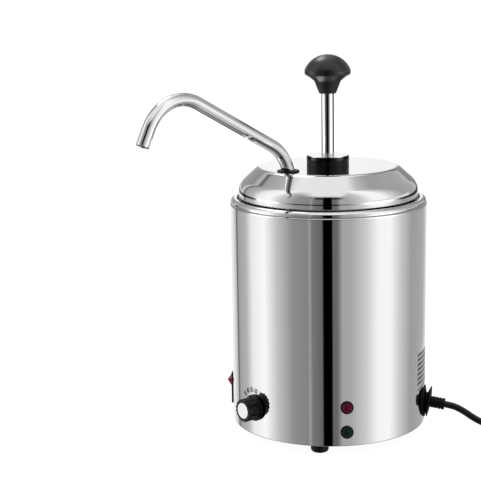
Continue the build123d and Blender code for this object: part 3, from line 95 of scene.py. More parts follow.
# %% [markdown]
# ## Helpers for materials
# A material here is one Principled shader whose roughness or bump varies with noise read in Object
# coordinates. A small function makes a node, sets its inputs and links what feeds it, which keeps every
# material down to a few lines.


# %% Material helpers
def shade(tree, kind, **inputs):
    """Adds one node; an input that is a socket is linked, any other value is set on the input itself."""
    node = tree.nodes.new(kind)
    for name, value in inputs.items():
        target = node.inputs[name.replace("_", " ")]
        if isinstance(value, bpy.types.NodeSocket):
            tree.links.new(value, target)
        else:
            target.default_value = value
    return node


def grain(tree, scale, stretch=(1, 1, 1), detail=3.0):
    """Noise from 0 to 1 in the object's own coordinates, drawn out along an axis by a small stretch."""
    place = tree.nodes.new("ShaderNodeTexCoord")
    mapped = shade(tree, "ShaderNodeMapping", Vector=place.outputs["Object"], Scale=stretch)
    noise = shade(tree, "ShaderNodeTexNoise", Vector=mapped.outputs["Vector"], Scale=scale, Detail=detail)
    return noise.outputs["Fac"]


def spread(tree, value, low, high, start=0.3, stop=0.7):
    """Maps a noise value from start..stop to low..high."""
    limits = {"From_Min": start, "From_Max": stop, "To_Min": low, "To_Max": high}
    return shade(tree, "ShaderNodeMapRange", Value=value, **limits).outputs["Result"]


def blank(name, colour, metallic=0.0):
    """A new material with one Principled shader, and the shader itself."""
    material = bpy.data.materials.new(name)
    material.use_nodes = True
    shader = material.node_tree.nodes["Principled BSDF"]
    shader.inputs["Base Color"].default_value = (*colour, 1)
    shader.inputs["Metallic"].default_value = metallic
    material.diffuse_color = (*colour, 1)
    return material, shader


def press_in(material, shader, height, strength, distance):
    """Feeds a height value into the shader's normal through a Bump node."""
    tree = material.node_tree
    bump = shade(tree, "ShaderNodeBump", Height=height, Strength=strength, Distance=distance)
    tree.links.new(bump.outputs["Normal"], shader.inputs["Normal"])


# %% [markdown]
# ## Finishes
# The pot, lid, spout and rod are mirror-polished stainless sheet: nearly no roughness, with faint lines
# left by the polishing wheel running round the body and a few dull smudges. Stretched noise gives both. The
# jar and the pump have the same lines under a duller polish. Plastics get a fine moulded grain, rubber a
# coarser one, and the lamp lenses a deep colour under a smooth surface.


# %% Metals
def polished(name, colour, low, high, lines):
    """Bright metal: smudges set the roughness, and lines round the Z axis stand for the polishing."""
    material, shader = blank(name, colour, 1.0)
    tree = material.node_tree
    smudge = spread(tree, grain(tree, 18, detail=5.0), low, high)
    tree.links.new(smudge, shader.inputs["Roughness"])
    press_in(material, shader, grain(tree, 40, (0.25, 0.25, lines)), 0.012, 0.00004)
    return material


def plain_metal(name, colour, low, high, scale, bump):
    """Metal that isn't polished: an even grain in roughness and a light bump."""
    material, shader = blank(name, colour, 1.0)
    tree = material.node_tree
    tree.links.new(spread(tree, grain(tree, scale), low, high), shader.inputs["Roughness"])
    press_in(material, shader, grain(tree, scale * 4), bump, 0.0001)
    return material


finishes = {
    "polished_steel": polished("polished_steel", (0.64, 0.635, 0.635), 0.03, 0.05, 40),
    "satin_steel": polished("satin_steel", (0.58, 0.58, 0.585), 0.2, 0.27, 60),
    "plain_steel": plain_metal("plain_steel", (0.52, 0.52, 0.525), 0.28, 0.42, 300, 0.1),
    "bright_cap": plain_metal("bright_cap", (0.7, 0.69, 0.71), 0.16, 0.26, 160, 0.04),
    "cast_aluminium": plain_metal("cast_aluminium", (0.68, 0.68, 0.69), 0.45, 0.65, 500, 0.4),
    "copper": plain_metal("copper", (0.72, 0.4, 0.27), 0.2, 0.35, 260, 0.1),
    "pin_brass": plain_metal("pin_brass", (0.83, 0.72, 0.46), 0.14, 0.26, 260, 0.05),
}
print("metals:", ", ".join(finishes))


# %% Plastics and rubber
def moulded(name, colour, low, high, scale, bump, shine=0.5):
    """Moulded plastic or rubber: a grain that varies the roughness and lifts the surface a little."""
    material, shader = blank(name, colour)
    tree = material.node_tree
    tree.links.new(spread(tree, grain(tree, scale * 0.2), low, high), shader.inputs["Roughness"])
    shader.inputs["Specular IOR Level"].default_value = shine
    if bump:
        press_in(material, shader, grain(tree, scale), bump, 0.0001)
    return material


finishes |= {
    "black_gloss": moulded("black_gloss", (0.001, 0.001, 0.0012), 0.06, 0.1, 900, 0, 0.2),
    "black_satin": moulded("black_satin", (0.002, 0.002, 0.0022), 0.25, 0.33, 1400, 0.04, 0.45),
    "red_lens": moulded("red_lens", (0.08, 0.0008, 0.013), 0.14, 0.2, 300, 0, 0.08),
    "green_lens": moulded("green_lens", (0.002, 0.014, 0.01), 0.14, 0.2, 300, 0, 0.08),
    "red_rocker": moulded("red_rocker", (0.3, 0.004, 0.035), 0.18, 0.28, 900, 0.03, 0.4),
    "black_rubber": moulded("black_rubber", (0.0015, 0.0015, 0.0015), 0.4, 0.5, 1100, 0.06, 0.15),
    "cord_black": moulded("cord_black", (0.002, 0.002, 0.0022), 0.3, 0.4, 1200, 0.05, 0.3),
    "white_plastic": moulded("white_plastic", (0.78, 0.77, 0.74), 0.32, 0.45, 900, 0.05),
    "brown_plastic": moulded("brown_plastic", (0.14, 0.07, 0.045), 0.3, 0.45, 900, 0.06),
    "ceramic": moulded("ceramic", (0.8, 0.77, 0.7), 0.5, 0.65, 700, 0.15),
    "wire_sleeve": moulded("wire_sleeve", (0.3, 0.1, 0.04), 0.35, 0.5, 900, 0.05),
}
print("finishes:", len(finishes))

# %% [markdown]
# ## Dress the CAD nodes
# The CAD nodes come with smooth faces and their own corners, so a node whose shape is right only needs its
# finish. The record names a material slot for each of them, and each slot has a finish of the same name.

# %% CAD nodes
slot_of = {row["node"]: row["material_slot"] for row in frame["record"]["subparts"]}
for name, node in nodes.items():
    node.data.materials.clear()
    node.data.materials.append(finishes[slot_of[name]])
print("dressed", len(slot_of), "nodes in", len(set(slot_of.values())), "finishes")

# %% [markdown]
# ## Helpers for surfaces
# A surface is a grid of points, rows by columns, worked out in millimetres as one array. A profile with
# rounded corners turned about an axis makes most of this object, because most of it was spun, turned or
# moulded round.


# %% Grids and pieces
def cells(rows, columns, close_rows=False, close_columns=True):
    """The four corner numbers of each cell of a grid, with a closed direction joined back to its start."""
    index = np.arange(rows * columns).reshape(rows, columns)
    if close_rows:
        index = np.vstack([index, index[:1]])
    if close_columns:
        index = np.hstack([index, index[:, :1]])
    corners = [index[:-1, :-1], index[:-1, 1:], index[1:, 1:], index[1:, :-1]]
    return np.stack(corners, axis=-1).reshape(-1, 4)


def together(*grids):
    """Several closed-round grids as one: points stacked, and each one's cells counted on from the last."""
    points = np.vstack([grid.reshape(-1, 3) for grid in grids])
    starts = np.cumsum([0] + [grid.shape[0] * grid.shape[1] for grid in grids[:-1]])
    return points, np.vstack([cells(*grid.shape[:2]) + start for grid, start in zip(grids, starts)])


def build(name, points, quads, body, slot, replaced=(), closed=True, corner=35):
    """Makes one piece: doubles are merged, faces of a closed form turned outwards, and corners kept sharp."""
    mesh = bpy.data.meshes.new(name)
    flat = np.asarray(points, float).reshape(-1, 3) * MM
    mesh.from_pydata(flat, [], np.asarray(quads))
    work = bmesh.new()
    work.from_mesh(mesh)
    bmesh.ops.remove_doubles(work, verts=work.verts, dist=1e-7)
    bmesh.ops.dissolve_degenerate(work, edges=work.edges, dist=1e-8)
    if closed:
        bmesh.ops.recalc_face_normals(work, faces=work.faces)
    work.to_mesh(mesh)
    work.free()
    mesh.shade_smooth()
    mesh.set_sharp_from_angle(angle=radians(corner))
    piece = bpy.data.objects.new(name, mesh)
    scene.collection.objects.link(piece)
    return dress(piece, body, slot, replaced)


def dress(piece, body, slot, replaced=()):
    """Gives a piece its finish and its body, and hides the CAD nodes that it stands for."""
    piece.data.materials.clear()
    piece.data.materials.append(finishes[slot])
    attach(piece, body)
    if replaced:
        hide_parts(*replaced)
    print(f"{piece.name}: {len(getattr(piece.data, 'polygons', []))} faces on {body}")
    return piece


# %% Profiles
GUARD = 0.4


def rounded(corners, radii, steps=10):
    """A path of straight runs with an arc at each inner corner, and the left-hand normal at each point.

    The arc's centre lies on the corner's bisector, and its points turn from one tangent to the other. Two
    points near the ends of each run keep its shading flat, because normals blend only between neighbours.
    """
    corners, radii = np.asarray(corners, float), np.asarray(radii, float)[:, None]
    here = corners[1:-1]
    back = corners[:-2] - here
    ahead = corners[2:] - here
    back /= np.linalg.norm(back, axis=1, keepdims=True)
    ahead /= np.linalg.norm(ahead, axis=1, keepdims=True)
    middle = back + ahead
    middle /= np.linalg.norm(middle, axis=1, keepdims=True)
    across = ahead - back
    across /= np.linalg.norm(across, axis=1, keepdims=True)
    half = np.arccos(np.clip(np.sum(back * middle, axis=1), -1, 1))[:, None]
    centre = here + middle * radii / np.sin(half)
    turn = (pi / 2 - half) * np.linspace(-1, 1, steps)
    arc = across[:, None] * np.sin(turn)[..., None] - middle[:, None] * np.cos(turn)[..., None]
    way = across[:, None] * np.cos(turn)[..., None] + middle[:, None] * np.sin(turn)[..., None]
    arcs = centre[:, None] + arc * radii[..., None]
    starts = np.vstack([corners[:1], arcs[:, -1]])
    stops = np.vstack([arcs[:, 0], corners[-1:]])
    length = np.linalg.norm(stops - starts, axis=1, keepdims=True)
    guard = (stops - starts) * np.minimum(GUARD / np.maximum(length, 1e-9), 1 / 3)
    guards = np.stack([starts + guard, stops - guard], axis=1)
    run_ways = np.repeat(np.vstack([-back[:1], ahead])[:, None], 2, axis=1)
    points = np.concatenate([guards[:-1], arcs], axis=1).reshape(-1, 2)
    ways = np.concatenate([run_ways[:-1], way], axis=1).reshape(-1, 2)
    points = np.vstack([corners[:1], points, guards[-1], corners[-1:]])
    ways = np.vstack([-back[:1], ways, run_ways[-1], ahead[-1:]])
    return points, np.stack([-ways[:, 1], ways[:, 0]], axis=1)


def sheet(corners, radii, wall, steps=10):
    """The closed outline of bent sheet: the path, and its copy one wall to the left, back to the start."""
    points, left = rounded(corners, radii, steps)
    return np.vstack([points, (points + left * wall)[::-1]])


def ring_outline(corners, radii, steps=5):
    """A closed outline with a round at each of its corners."""
    corners = np.asarray(corners, float)
    around = np.vstack([corners[-1:], corners, corners[:1]])
    return rounded(around, np.broadcast_to(radii, len(corners)), steps)[0][2:-2]


def arc_through(start, sagitta, end, steps):
    """An arc between two points that bows to the left by a sagitta, from start to end."""
    start, end = np.asarray(start, float), np.asarray(end, float)
    chord = end - start
    left = np.array([-chord[1], chord[0]]) / np.linalg.norm(chord)
    half = np.linalg.norm(chord) / 2
    radius = (half**2 + sagitta**2) / (2 * abs(sagitta))
    middle = (start + end) / 2 + left * (sagitta - np.sign(sagitta) * radius)
    first = atan2(*(start - middle)[::-1])
    sweep = 2 * np.arcsin(half / radius) * (-1 if sagitta > 0 else 1)
    angle = first + np.linspace(0, sweep, steps)
    return middle + radius * np.stack([np.cos(angle), np.sin(angle)], axis=1)


# %% Turned pieces and places on the shell
BODY_RADIUS = 95.0
UP = np.array([0, 0, 1.0])


def turned(profile, columns, origin=(0, 0, 0), x_way=(1, 0, 0), axis=(0, 0, 1)):
    """A profile of (radius, height) carried round an axis, as a grid of points."""
    x_way, axis = np.asarray(x_way, float), np.asarray(axis, float)
    y_way = np.cross(axis, x_way)
    angle = np.linspace(0, 2 * pi, columns, endpoint=False)
    spoke = np.cos(angle)[:, None] * x_way + np.sin(angle)[:, None] * y_way
    return np.asarray(origin) + profile[:, 0, None, None] * spoke + profile[:, 1, None, None] * axis


def lathe(name, profile, body, slot, replaced=(), columns=160, closed=True, place=(), corner=35):
    """One turned piece; a closed profile is a ring, an open one runs from axis to axis."""
    grid = turned(profile, columns, *place)
    return build(name, grid, cells(len(profile), columns, closed), body, slot, replaced, corner=corner)


def outward(azimuth):
    """The level direction away from the axis, at an angle from the spout's side towards +X."""
    turn = np.radians(azimuth)
    return np.stack([np.sin(turn), -np.cos(turn), np.zeros_like(turn)], axis=-1)


def on_shell(azimuth, level):
    """Where a control sits on the shell: its place, its own x direction and its outward axis."""
    away = outward(float(azimuth))
    return away * BODY_RADIUS + UP * level, np.cross(UP, away), away


# %% [markdown]
# ## Mains cord
# The cord leaves the boot with a slight droop, falls in one easy bow to the table, and the length that
# isn't used lies in a neat tied coil. One NURBS curve goes through all of it, with a round bevel, because a
# cord is one unbroken length. Its control points repeat the route of the CAD tube.

# %% Cord route
CORD_RADIUS = 3.25
GLAND_AZIMUTH, GLAND_LEVEL = 124.4, FOOT_HEIGHT + 19.4
GLAND_REACH, BOOT_LENGTH, BOOT_DROOP, FIRST_RUN = 1.9, 18.2, radians(8.5), 7.0
gland_place, gland_side, gland_way = on_shell(GLAND_AZIMUTH, GLAND_LEVEL)
boot_way = gland_way * cos(BOOT_DROOP) - UP * sin(BOOT_DROOP)
boot_tip = gland_place + gland_way * GLAND_REACH + boot_way * BOOT_LENGTH
COIL_LEVEL, COIL_PITCH, COIL_INNER, COIL_TURNS = CORD_RADIUS + 1.2, 7.1, 28.0, 5.4
FLOOR_DROP = COIL_LEVEL - boot_tip[2]
# Reach from the boot's tip and height over it, in millimetres
falls = np.array([(13.6, -3.4), (20.5, -7.3), (28.8, -12.9), (38.8, -17.6), (50.5, -20.1),
                  (65.5, FLOOR_DROP), (80.5, FLOOR_DROP)])
free = boot_tip + falls[:, :1] * gland_way + falls[:, 1:] * UP
free = np.vstack([boot_tip, boot_tip + boot_way * FIRST_RUN, free])

COIL_LEAD, COIL_TAIL, POINTS_PER_TURN = 6.5, 20.0, 16
coil_entry = free[-1] + gland_way * COIL_LEAD
coil_outer = COIL_INNER + COIL_PITCH * COIL_TURNS / 2
coil_centre = coil_entry + gland_side * coil_outer
turns = np.linspace(0, 2 * pi * COIL_TURNS, round(COIL_TURNS * POINTS_PER_TURN) + 1)
reversal = pi * COIL_TURNS
coil_radius = COIL_INNER + COIL_PITCH * np.abs(turns - reversal) / (2 * pi)
share = np.clip((turns - reversal) / pi + 0.5, 0, 1)
climb = COIL_PITCH * share**2 * (3 - 2 * share)
coil = coil_centre - (coil_radius * np.cos(turns))[:, None] * gland_side
coil += (coil_radius * np.sin(turns))[:, None] * gland_way + climb[:, None] * UP
tail_way = (coil[-1] - coil[-2]) * [1, 1, 0]
tail_way /= np.linalg.norm(tail_way)
route = np.vstack([free, coil, coil[-1] + tail_way * COIL_TAIL / 2, coil[-1] + tail_way * COIL_TAIL])
print("cord route:", len(route), "points")

# %% Cord
line = bpy.data.curves.new("mains_cord", "CURVE")
line.dimensions = "3D"
spline = line.splines.new("NURBS")
spline.points.add(len(route) - 1)
spline.points.foreach_set("co", np.hstack([route * MM, np.ones((len(route), 1))]).ravel())
spline.order_u = 3
spline.use_endpoint_u = True
spline.resolution_u = 6
spline.use_smooth = True
line.bevel_depth = CORD_RADIUS * MM
line.bevel_resolution = 6
line.use_fill_caps = True
cord = bpy.data.objects.new("mains_cord", line)
scene.collection.objects.link(cord)
dress(cord, "base", "cord_black", ("power_cord", "cord_coil"))
put_away = [nodes["cord_plug"], nodes["plug_pins"], nodes["cord_tie"]]
for piece in [cord, *put_away]:
    piece.visible_glossy = False

# %% [markdown]
# ## Studio
# Polished metal shows its surroundings, so the light is designed as what the pot mirrors. A tall soft box
# stands at each side, with a narrow dark gap where the camera is, and near the horizon the boxes are
# brighter and the rest is darker. A white panel hangs overhead. Soft shadows behind the pot draw dark edges
# on the rod and the spout, and a flag over the camera draws the line along the lid's front shoulder. All of
# it is one world shader that reads the direction: brightness is a number, and each light or shadow is a
# product of smooth steps. The camera itself sees plain white.

# %% World helpers
world = bpy.data.worlds.new("studio")
scene.world = world
world.use_nodes = True
sky = world.node_tree
sky.nodes.clear()
direction = sky.nodes.new("ShaderNodeTexCoord")
spin = shade(sky, "ShaderNodeVectorRotate", Vector=direction.outputs["Generated"], Angle=-VIEW_AZIMUTH)
spin.rotation_type = "Z_AXIS"
axes = shade(sky, "ShaderNodeSeparateXYZ", Vector=spin.outputs["Vector"])
to_right, away, high = axes.outputs["X"], axes.outputs["Y"], axes.outputs["Z"]


def math(kind, *values):
    """One arithmetic node of the world shader, fed by sockets or plain numbers."""
    node = sky.nodes.new("ShaderNodeMath")
    node.operation = kind
    for place, value in enumerate(values):
        if isinstance(value, bpy.types.NodeSocket):
            sky.links.new(value, node.inputs[place])
        else:
            node.inputs[place].default_value = value
    return node.outputs["Value"]


def region(*steps):
    """A product of smooth steps: each rises from 0 at its start to 1 at its stop, which may lie below it."""
    product = 1.0
    for value, start, stop in steps:
        step = shade(sky, "ShaderNodeMapRange", Value=value, From_Min=start, From_Max=stop)
        step.interpolation_type = "SMOOTHSTEP"
        product = math("MULTIPLY", product, step.outputs["Result"])
    return product


def blend(first, second, amount):
    """The first brightness where the amount is 0, the second where it is 1."""
    return math("MULTIPLY_ADD", math("SUBTRACT", second, first), amount, first)


# %% World
angle = math("MULTIPLY_ADD", math("ARCTAN2", to_right, math("MULTIPLY", away, -1)), 1 / (2 * pi), 0.5)
walls = shade(sky, "ShaderNodeValToRGB", Fac=angle)
# Angle from the camera in degrees, to the right, and how bright the studio's walls are there
studio = [
    (-180, 0.85), (-150, 0.78), (-139, 0.55), (-135, 0.1), (-131, 0.38), (-112, 0.52), (-100, 0.95),
    (-80, 1.1), (-62, 0.62), (-42, 0.31), (-24, 0.26), (-21, 0.38), (-19, 0.21), (-6.5, 0.14), (-5.6, 0.0),
    (5.2, 0.0), (5.8, 0.2), (8, 0.13), (12, 0.2), (16, 0.42), (26, 0.44), (44, 0.68), (60, 1.05), (76, 1.08),
    (93, 0.66), (112, 0.38), (145, 0.42), (180, 0.85),
]
ramp = walls.color_ramp
while len(ramp.elements) < len(studio):
    ramp.elements.new(0.5)
for element, (degrees, bright) in zip(ramp.elements, studio):
    element.position = degrees / 360 + 0.5
    element.color = (bright, bright, bright, 1)
wall = math("ADD", walls.outputs["Color"], 0.0)
horizon = region((high, -0.162, -0.152), (high, -0.035, -0.055))
HORIZON_GAIN, HORIZON_CONTRAST = 3.0, 3.2
boxes = math("MULTIPLY", math("POWER", wall, HORIZON_CONTRAST), HORIZON_GAIN)
bright = blend(wall, boxes, horizon)
# Behind the pot, level: the rod's edges
rod_edges = region((high, -0.157, -0.15), (high, -0.04, -0.06), (away, 0.1, 0.3))
# Behind the pot on the right, on the left and low: the edges of the spout
spout_top = region((high, -0.09, -0.07), (high, 0.5, 0.4), (away, 0.5, 0.64),
                   (to_right, 0.1, 0.18), (to_right, 0.46, 0.38))
spout_bend = region((high, -0.05, 0.02), (high, 0.6, 0.5), (away, 0.6, 0.75),
                    (to_right, -0.1, -0.18), (to_right, -0.62, -0.5))
spout_low = region((high, -0.36, -0.42), (away, 0.4, 0.55))
# Behind the pot, high: the crease at the lid's rear
crease = region((high, 0.3, 0.45), (away, 0.35, 0.6), (to_right, -0.15, 0.05), (to_right, 0.45, 0.3))
# A flag over the camera: the line along the lid's front shoulder
flag = region((high, 0.44, 0.5), (high, 0.66, 0.6), (away, -0.35, -0.6),
              (to_right, -0.34, -0.22), (to_right, 0.34, 0.22))
# The table's shade: everything that faces down
under = region((high, -0.45, -0.62))
shadows = [(0.85, rod_edges), (0.6, spout_top), (0.6, spout_bend), (0.8, spout_low), (0.6, crease),
           (0.85, flag), (0.45, under)]
for depth, where in shadows:
    bright = math("MULTIPLY", bright, math("MULTIPLY_ADD", where, -depth, 1.0))
# A white panel overhead: the lid's flat top
panel = region((high, 0.62, 0.8), (to_right, -0.55, -0.18), (to_right, 0.36, 0.22))
# A tall box on the right: the spout's upper side
tall_box = region((to_right, 0.78, 0.86), (high, -0.06, -0.02), (high, 0.13, 0.07))
# A small box high at the back, on the left: the plunger knob's dome
small_box = region((high, 0.62, 0.7), (high, 0.93, 0.87), (away, 0.25, 0.4),
                   (to_right, -0.45, -0.36), (to_right, -0.08, -0.2))
lights = [(0.9, panel), (0.8, tall_box), (5.0, small_box)]
for level, where in lights:
    bright = blend(bright, level, where)
path = sky.nodes.new("ShaderNodeLightPath")
STUDIO_GAIN = 1.35
bright = blend(math("MULTIPLY", bright, STUDIO_GAIN), 1.0, path.outputs["Is Camera Ray"])
light = shade(sky, "ShaderNodeBackground", Color=bright, Strength=1.0)
output = sky.nodes.new("ShaderNodeOutputWorld")
sky.links.new(light.outputs["Background"], output.inputs["Surface"])
scene.view_settings.view_transform = "Standard"
print("studio:", len(studio), "stops round the pot,", len(shadows), "shadows and", len(lights), "lights")

# %% Floor and key light
FLOOR_HALF, FLOOR_LEVEL, FLOOR_GLOW = 3.0, -0.0002, 0.95
KEY_SIZE, KEY_WATTS, KEY_PLACE = 1.2, 10, (0.2, -0.3, 1.7)
floor_mesh = bpy.data.meshes.new("floor")
square = np.array([(-1, -1), (1, -1), (1, 1), (-1, 1)]) * FLOOR_HALF
floor_mesh.from_pydata(np.hstack([square, np.full((4, 1), FLOOR_LEVEL)]), [], [(0, 1, 2, 3)])
floor = bpy.data.objects.new("floor", floor_mesh)
scene.collection.objects.link(floor)
floor_paint, floor_shader = blank("floor_paint", (0.1, 0.1, 0.1))
floor_shader.inputs["Roughness"].default_value = 0.8
floor_shader.inputs["Emission Color"].default_value = (1, 1, 1, 1)
floor_shader.inputs["Emission Strength"].default_value = FLOOR_GLOW
floor_mesh.materials.append(floor_paint)
floor.visible_glossy = False

key = bpy.data.objects.new("key", bpy.data.lights.new("key", "AREA"))
key.data.size = KEY_SIZE
key.data.energy = KEY_WATTS
key.location = KEY_PLACE
key.visible_glossy = False
scene.collection.objects.link(key)
print("floor and key light")

# %% [markdown]
# ## Pot
# The shell is one sheet rolled into a cylinder, with both edges turned in and a field of louvres pressed in
# above the cord. A grid of angle and height makes it: at each louvre two rows share one height, the upper
# one is pushed in, and the cells between them are left out, which opens the slot. Solidify then gives the
# sheet its wall.

# %% Shell rows
SHELL_LOW, SHELL_TOP, SHELL_WALL, SHELL_LIP, SHELL_ROUND = FOOT_HEIGHT, 225.2, 1.0, 5.0, 1.1
HEM, EDGE_RUN, EDGE_STEPS = 1.5, 3.0, 8
LOUVRES, LOUVRE_PITCH, LOUVRE_TALL, LOUVRE_ARC, LOUVRE_REACH = 7, 4.8, 2.7, 35.0, 1.2
LOUVRE_LOW, HOOD_STEPS, HOOD_POWER = SHELL_LOW + 43.0, 7, 1.3
hem_corners = [(BODY_RADIUS - HEM, SHELL_LOW), (BODY_RADIUS, SHELL_LOW), (BODY_RADIUS, SHELL_LOW + EDGE_RUN)]
top_corners = [(BODY_RADIUS, SHELL_TOP - EDGE_RUN), (BODY_RADIUS, SHELL_TOP),
               (BODY_RADIUS - SHELL_LIP, SHELL_TOP)]
hem, top = [rounded(corners, [SHELL_ROUND], EDGE_STEPS)[0] for corners in (hem_corners, top_corners)]
slots = LOUVRE_LOW + LOUVRE_PITCH * np.arange(LOUVRES)
hood = np.linspace(0, 1, HOOD_STEPS)
hood_levels = (slots[:, None] + LOUVRE_TALL * hood).ravel()
hood_push = np.tile(LOUVRE_REACH * (1 - hood) ** HOOD_POWER, LOUVRES)
plain = np.array([30.0, 45.0, 100.0, 140.0, 180.0, 210.0])
# Columns of the table of rows: height, how far in it is pushed, and whether a slot opens above it
middle = np.vstack([
    np.stack([plain, 0 * plain, 0 * plain], axis=1),
    np.stack([slots, 0 * slots, 0 * slots + 1], axis=1),
    np.stack([hood_levels, hood_push, 0 * hood_levels], axis=1),
])
middle = middle[np.lexsort((middle[:, 1], middle[:, 0]))]
levels = np.concatenate([hem[:, 1], middle[:, 0], top[:, 1]])
radii = np.concatenate([hem[:, 0], np.full(len(middle), BODY_RADIUS), top[:, 0]])
push = np.concatenate([0 * hem[:, 0], middle[:, 1], 0 * top[:, 0]])
opens = np.concatenate([0 * hem[:, 0], middle[:, 2], 0 * top[:, 0]])
print("shell rows:", len(levels))

# %% Shell
FIELD_COLUMNS, OTHER_COLUMNS, LOUVRE_FULL = 61, 280, 0.9
half_arc = LOUVRE_ARC / 2
azimuths = GLAND_AZIMUTH + np.concatenate([np.linspace(-half_arc, half_arc, FIELD_COLUMNS)[:-1],
                                           np.linspace(half_arc, 360 - half_arc, OTHER_COLUMNS)[:-1]])
from_middle = np.abs((azimuths - GLAND_AZIMUTH + 180) % 360 - 180) / half_arc
past_full = np.clip((from_middle - LOUVRE_FULL) / (1 - LOUVRE_FULL), 0, 1)
end_fade = np.sqrt(np.clip(1 - past_full**2, 0, 1)) * (from_middle < 1)
reach = radii[:, None] - push[:, None] * end_fade
shell_grid = reach[..., None] * outward(azimuths) + levels[:, None, None] * UP
shell_cells = cells(*reach.shape)
row_of = shell_cells[:, 0] // reach.shape[1]
shell = build("pot_shell", shell_grid, shell_cells[opens[row_of] == 0], "base", "polished_steel",
              ("outer_shell",), closed=False)
wall_modifier = shell.modifiers.new("sheet", "SOLIDIFY")
wall_modifier.thickness = SHELL_WALL * MM
wall_modifier.offset = -1

# %% [markdown]
# ## Water well, jar and lid
# All three are spun or drawn from sheet, so each is a closed sheet outline turned about the axis. The rim
# of the well is a fat roll that stands on the shell; the jar hangs by its flange on the ledge inside it,
# and the lid stands on the jar's flange with a skirt that is tucked in below its lip.

# %% Well, jar and lid
RIM_RADIUS, RIM_TOP, RIM_BORE, RIM_CURL = 94.3, 230.7, 88.1, 2.0
LEDGE, WELL_RADIUS, WELL_FLOOR = 220.0, 84.0, 87.0
STUD_RADIUS, STUD_END = 3.0, 66.0
WELL_ROUNDS = [1.2, 3.9, 1.1, 0.4, 1.4, 6.0]
well_corners = [(RIM_RADIUS - RIM_CURL, SHELL_TOP), (RIM_RADIUS, SHELL_TOP), (RIM_RADIUS, RIM_TOP),
                (RIM_BORE, RIM_TOP), (RIM_BORE, LEDGE), (WELL_RADIUS, LEDGE), (WELL_RADIUS, WELL_FLOOR),
                (0, WELL_FLOOR)]
well_face, well_left = rounded(well_corners, WELL_ROUNDS, 14)
well_back = (well_face + well_left * SHELL_WALL)[::-1]
stud = np.array([(0, STUD_END), (STUD_RADIUS, STUD_END), (STUD_RADIUS, WELL_FLOOR - SHELL_WALL)])
well = np.vstack([well_face, stud, well_back[1:]])
lathe("well_and_rim", well, "base", "polished_steel", ("water_well",), columns=240)

JAR_TOP, JAR_BORE, JAR_FLOOR, JAR_GAP, JAR_WALL, JAR_ROUNDS = 221.05, 76.5, 93.0, 0.5, 1.0, [2.5, 10]
jar_corners = [(RIM_BORE - JAR_GAP, JAR_TOP), (JAR_BORE, JAR_TOP), (JAR_BORE, JAR_FLOOR), (0, JAR_FLOOR)]
lathe("jar", sheet(jar_corners, JAR_ROUNDS, JAR_WALL), "jar", "satin_steel", ("sauce_jar",))

LID_RADIUS, LID_FOOT, LID_SHOULDER, LID_FLAT, LID_TOP, LID_HOLE = 86.4, 221.1, 243.3, 67.4, 260.4, 17.2
LID_LIP, LID_SKIRT, LID_WALL, LID_ROUNDS = RIM_TOP + 0.3, LID_RADIUS - 2.4, 1.0, [0.2, 1.1, 17, 8]
lid_corners = [(LID_SKIRT, LID_FOOT), (LID_SKIRT, LID_LIP), (LID_RADIUS, LID_LIP), (LID_RADIUS, LID_SHOULDER),
               (LID_FLAT, LID_TOP), (LID_HOLE, LID_TOP)]
lid = sheet(lid_corners, LID_ROUNDS, LID_WALL, steps=24)
lathe("pump_lid", lid, "pump", "polished_steel", ("lid",), columns=240)

# %% [markdown]
# ## Spout
# The spout is one bent tube. Its middle line is made of runs and arcs in one upright plane, and a ring is
# carried along it: out on the outer wall, round the lip of the tip and back inside, so the open end shows
# its wall.

# %% Spout's middle line
SPOUT_OFFSET, SPOUT_START, SPOUT_STRAIGHT = 52.6, 138.4, 250.0
SPOUT_BEND, SPOUT_RISE, SPOUT_RUN, SPOUT_DROP, SPOUT_TIP = 41.5, radians(27.3), 101.1, radians(63), 15.7
SPOUT_RADIUS, SPOUT_WALL = 6.0, 1.0


def spout_line():
    """Points of the middle line and the direction at each, in the plane x = 0.

    The line turns by a known angle at each step: no turn on the runs, equal turns on the two arcs. The
    heading is the sum of the turns, and the place is the sum of the steps along the heading half way through
    each step.
    """
    first_turn, second_turn = pi / 2 - SPOUT_RISE, SPOUT_RISE + SPOUT_DROP
    # Length, turn and number of steps
    runs = [
        (SPOUT_STRAIGHT - SPOUT_START, 0, 24),
        (SPOUT_BEND * first_turn, first_turn, 48),
        (SPOUT_RUN, 0, 24),
        (SPOUT_BEND * second_turn, second_turn, 64),
        (SPOUT_TIP, 0, 8),
    ]
    bends = np.concatenate([np.full(count, bend / count) for length, bend, count in runs])
    steps = np.concatenate([np.full(count, length / count) for length, bend, count in runs])
    heading = pi / 2 + np.cumsum(bends)
    halfway = heading - bends / 2
    chord = steps * np.sinc(bends / 2 / pi)
    y = -SPOUT_OFFSET + np.concatenate([[0], np.cumsum(chord * np.cos(halfway))])
    z = SPOUT_START + np.concatenate([[0], np.cumsum(chord * np.sin(halfway))])
    heading = np.concatenate([[pi / 2], heading])
    zero = np.zeros_like(y)
    return np.stack([zero, y, z], axis=1), np.stack([zero, np.cos(heading), np.sin(heading)], axis=1)


places, ways = spout_line()
print("spout tip at", places[-1].round(1))

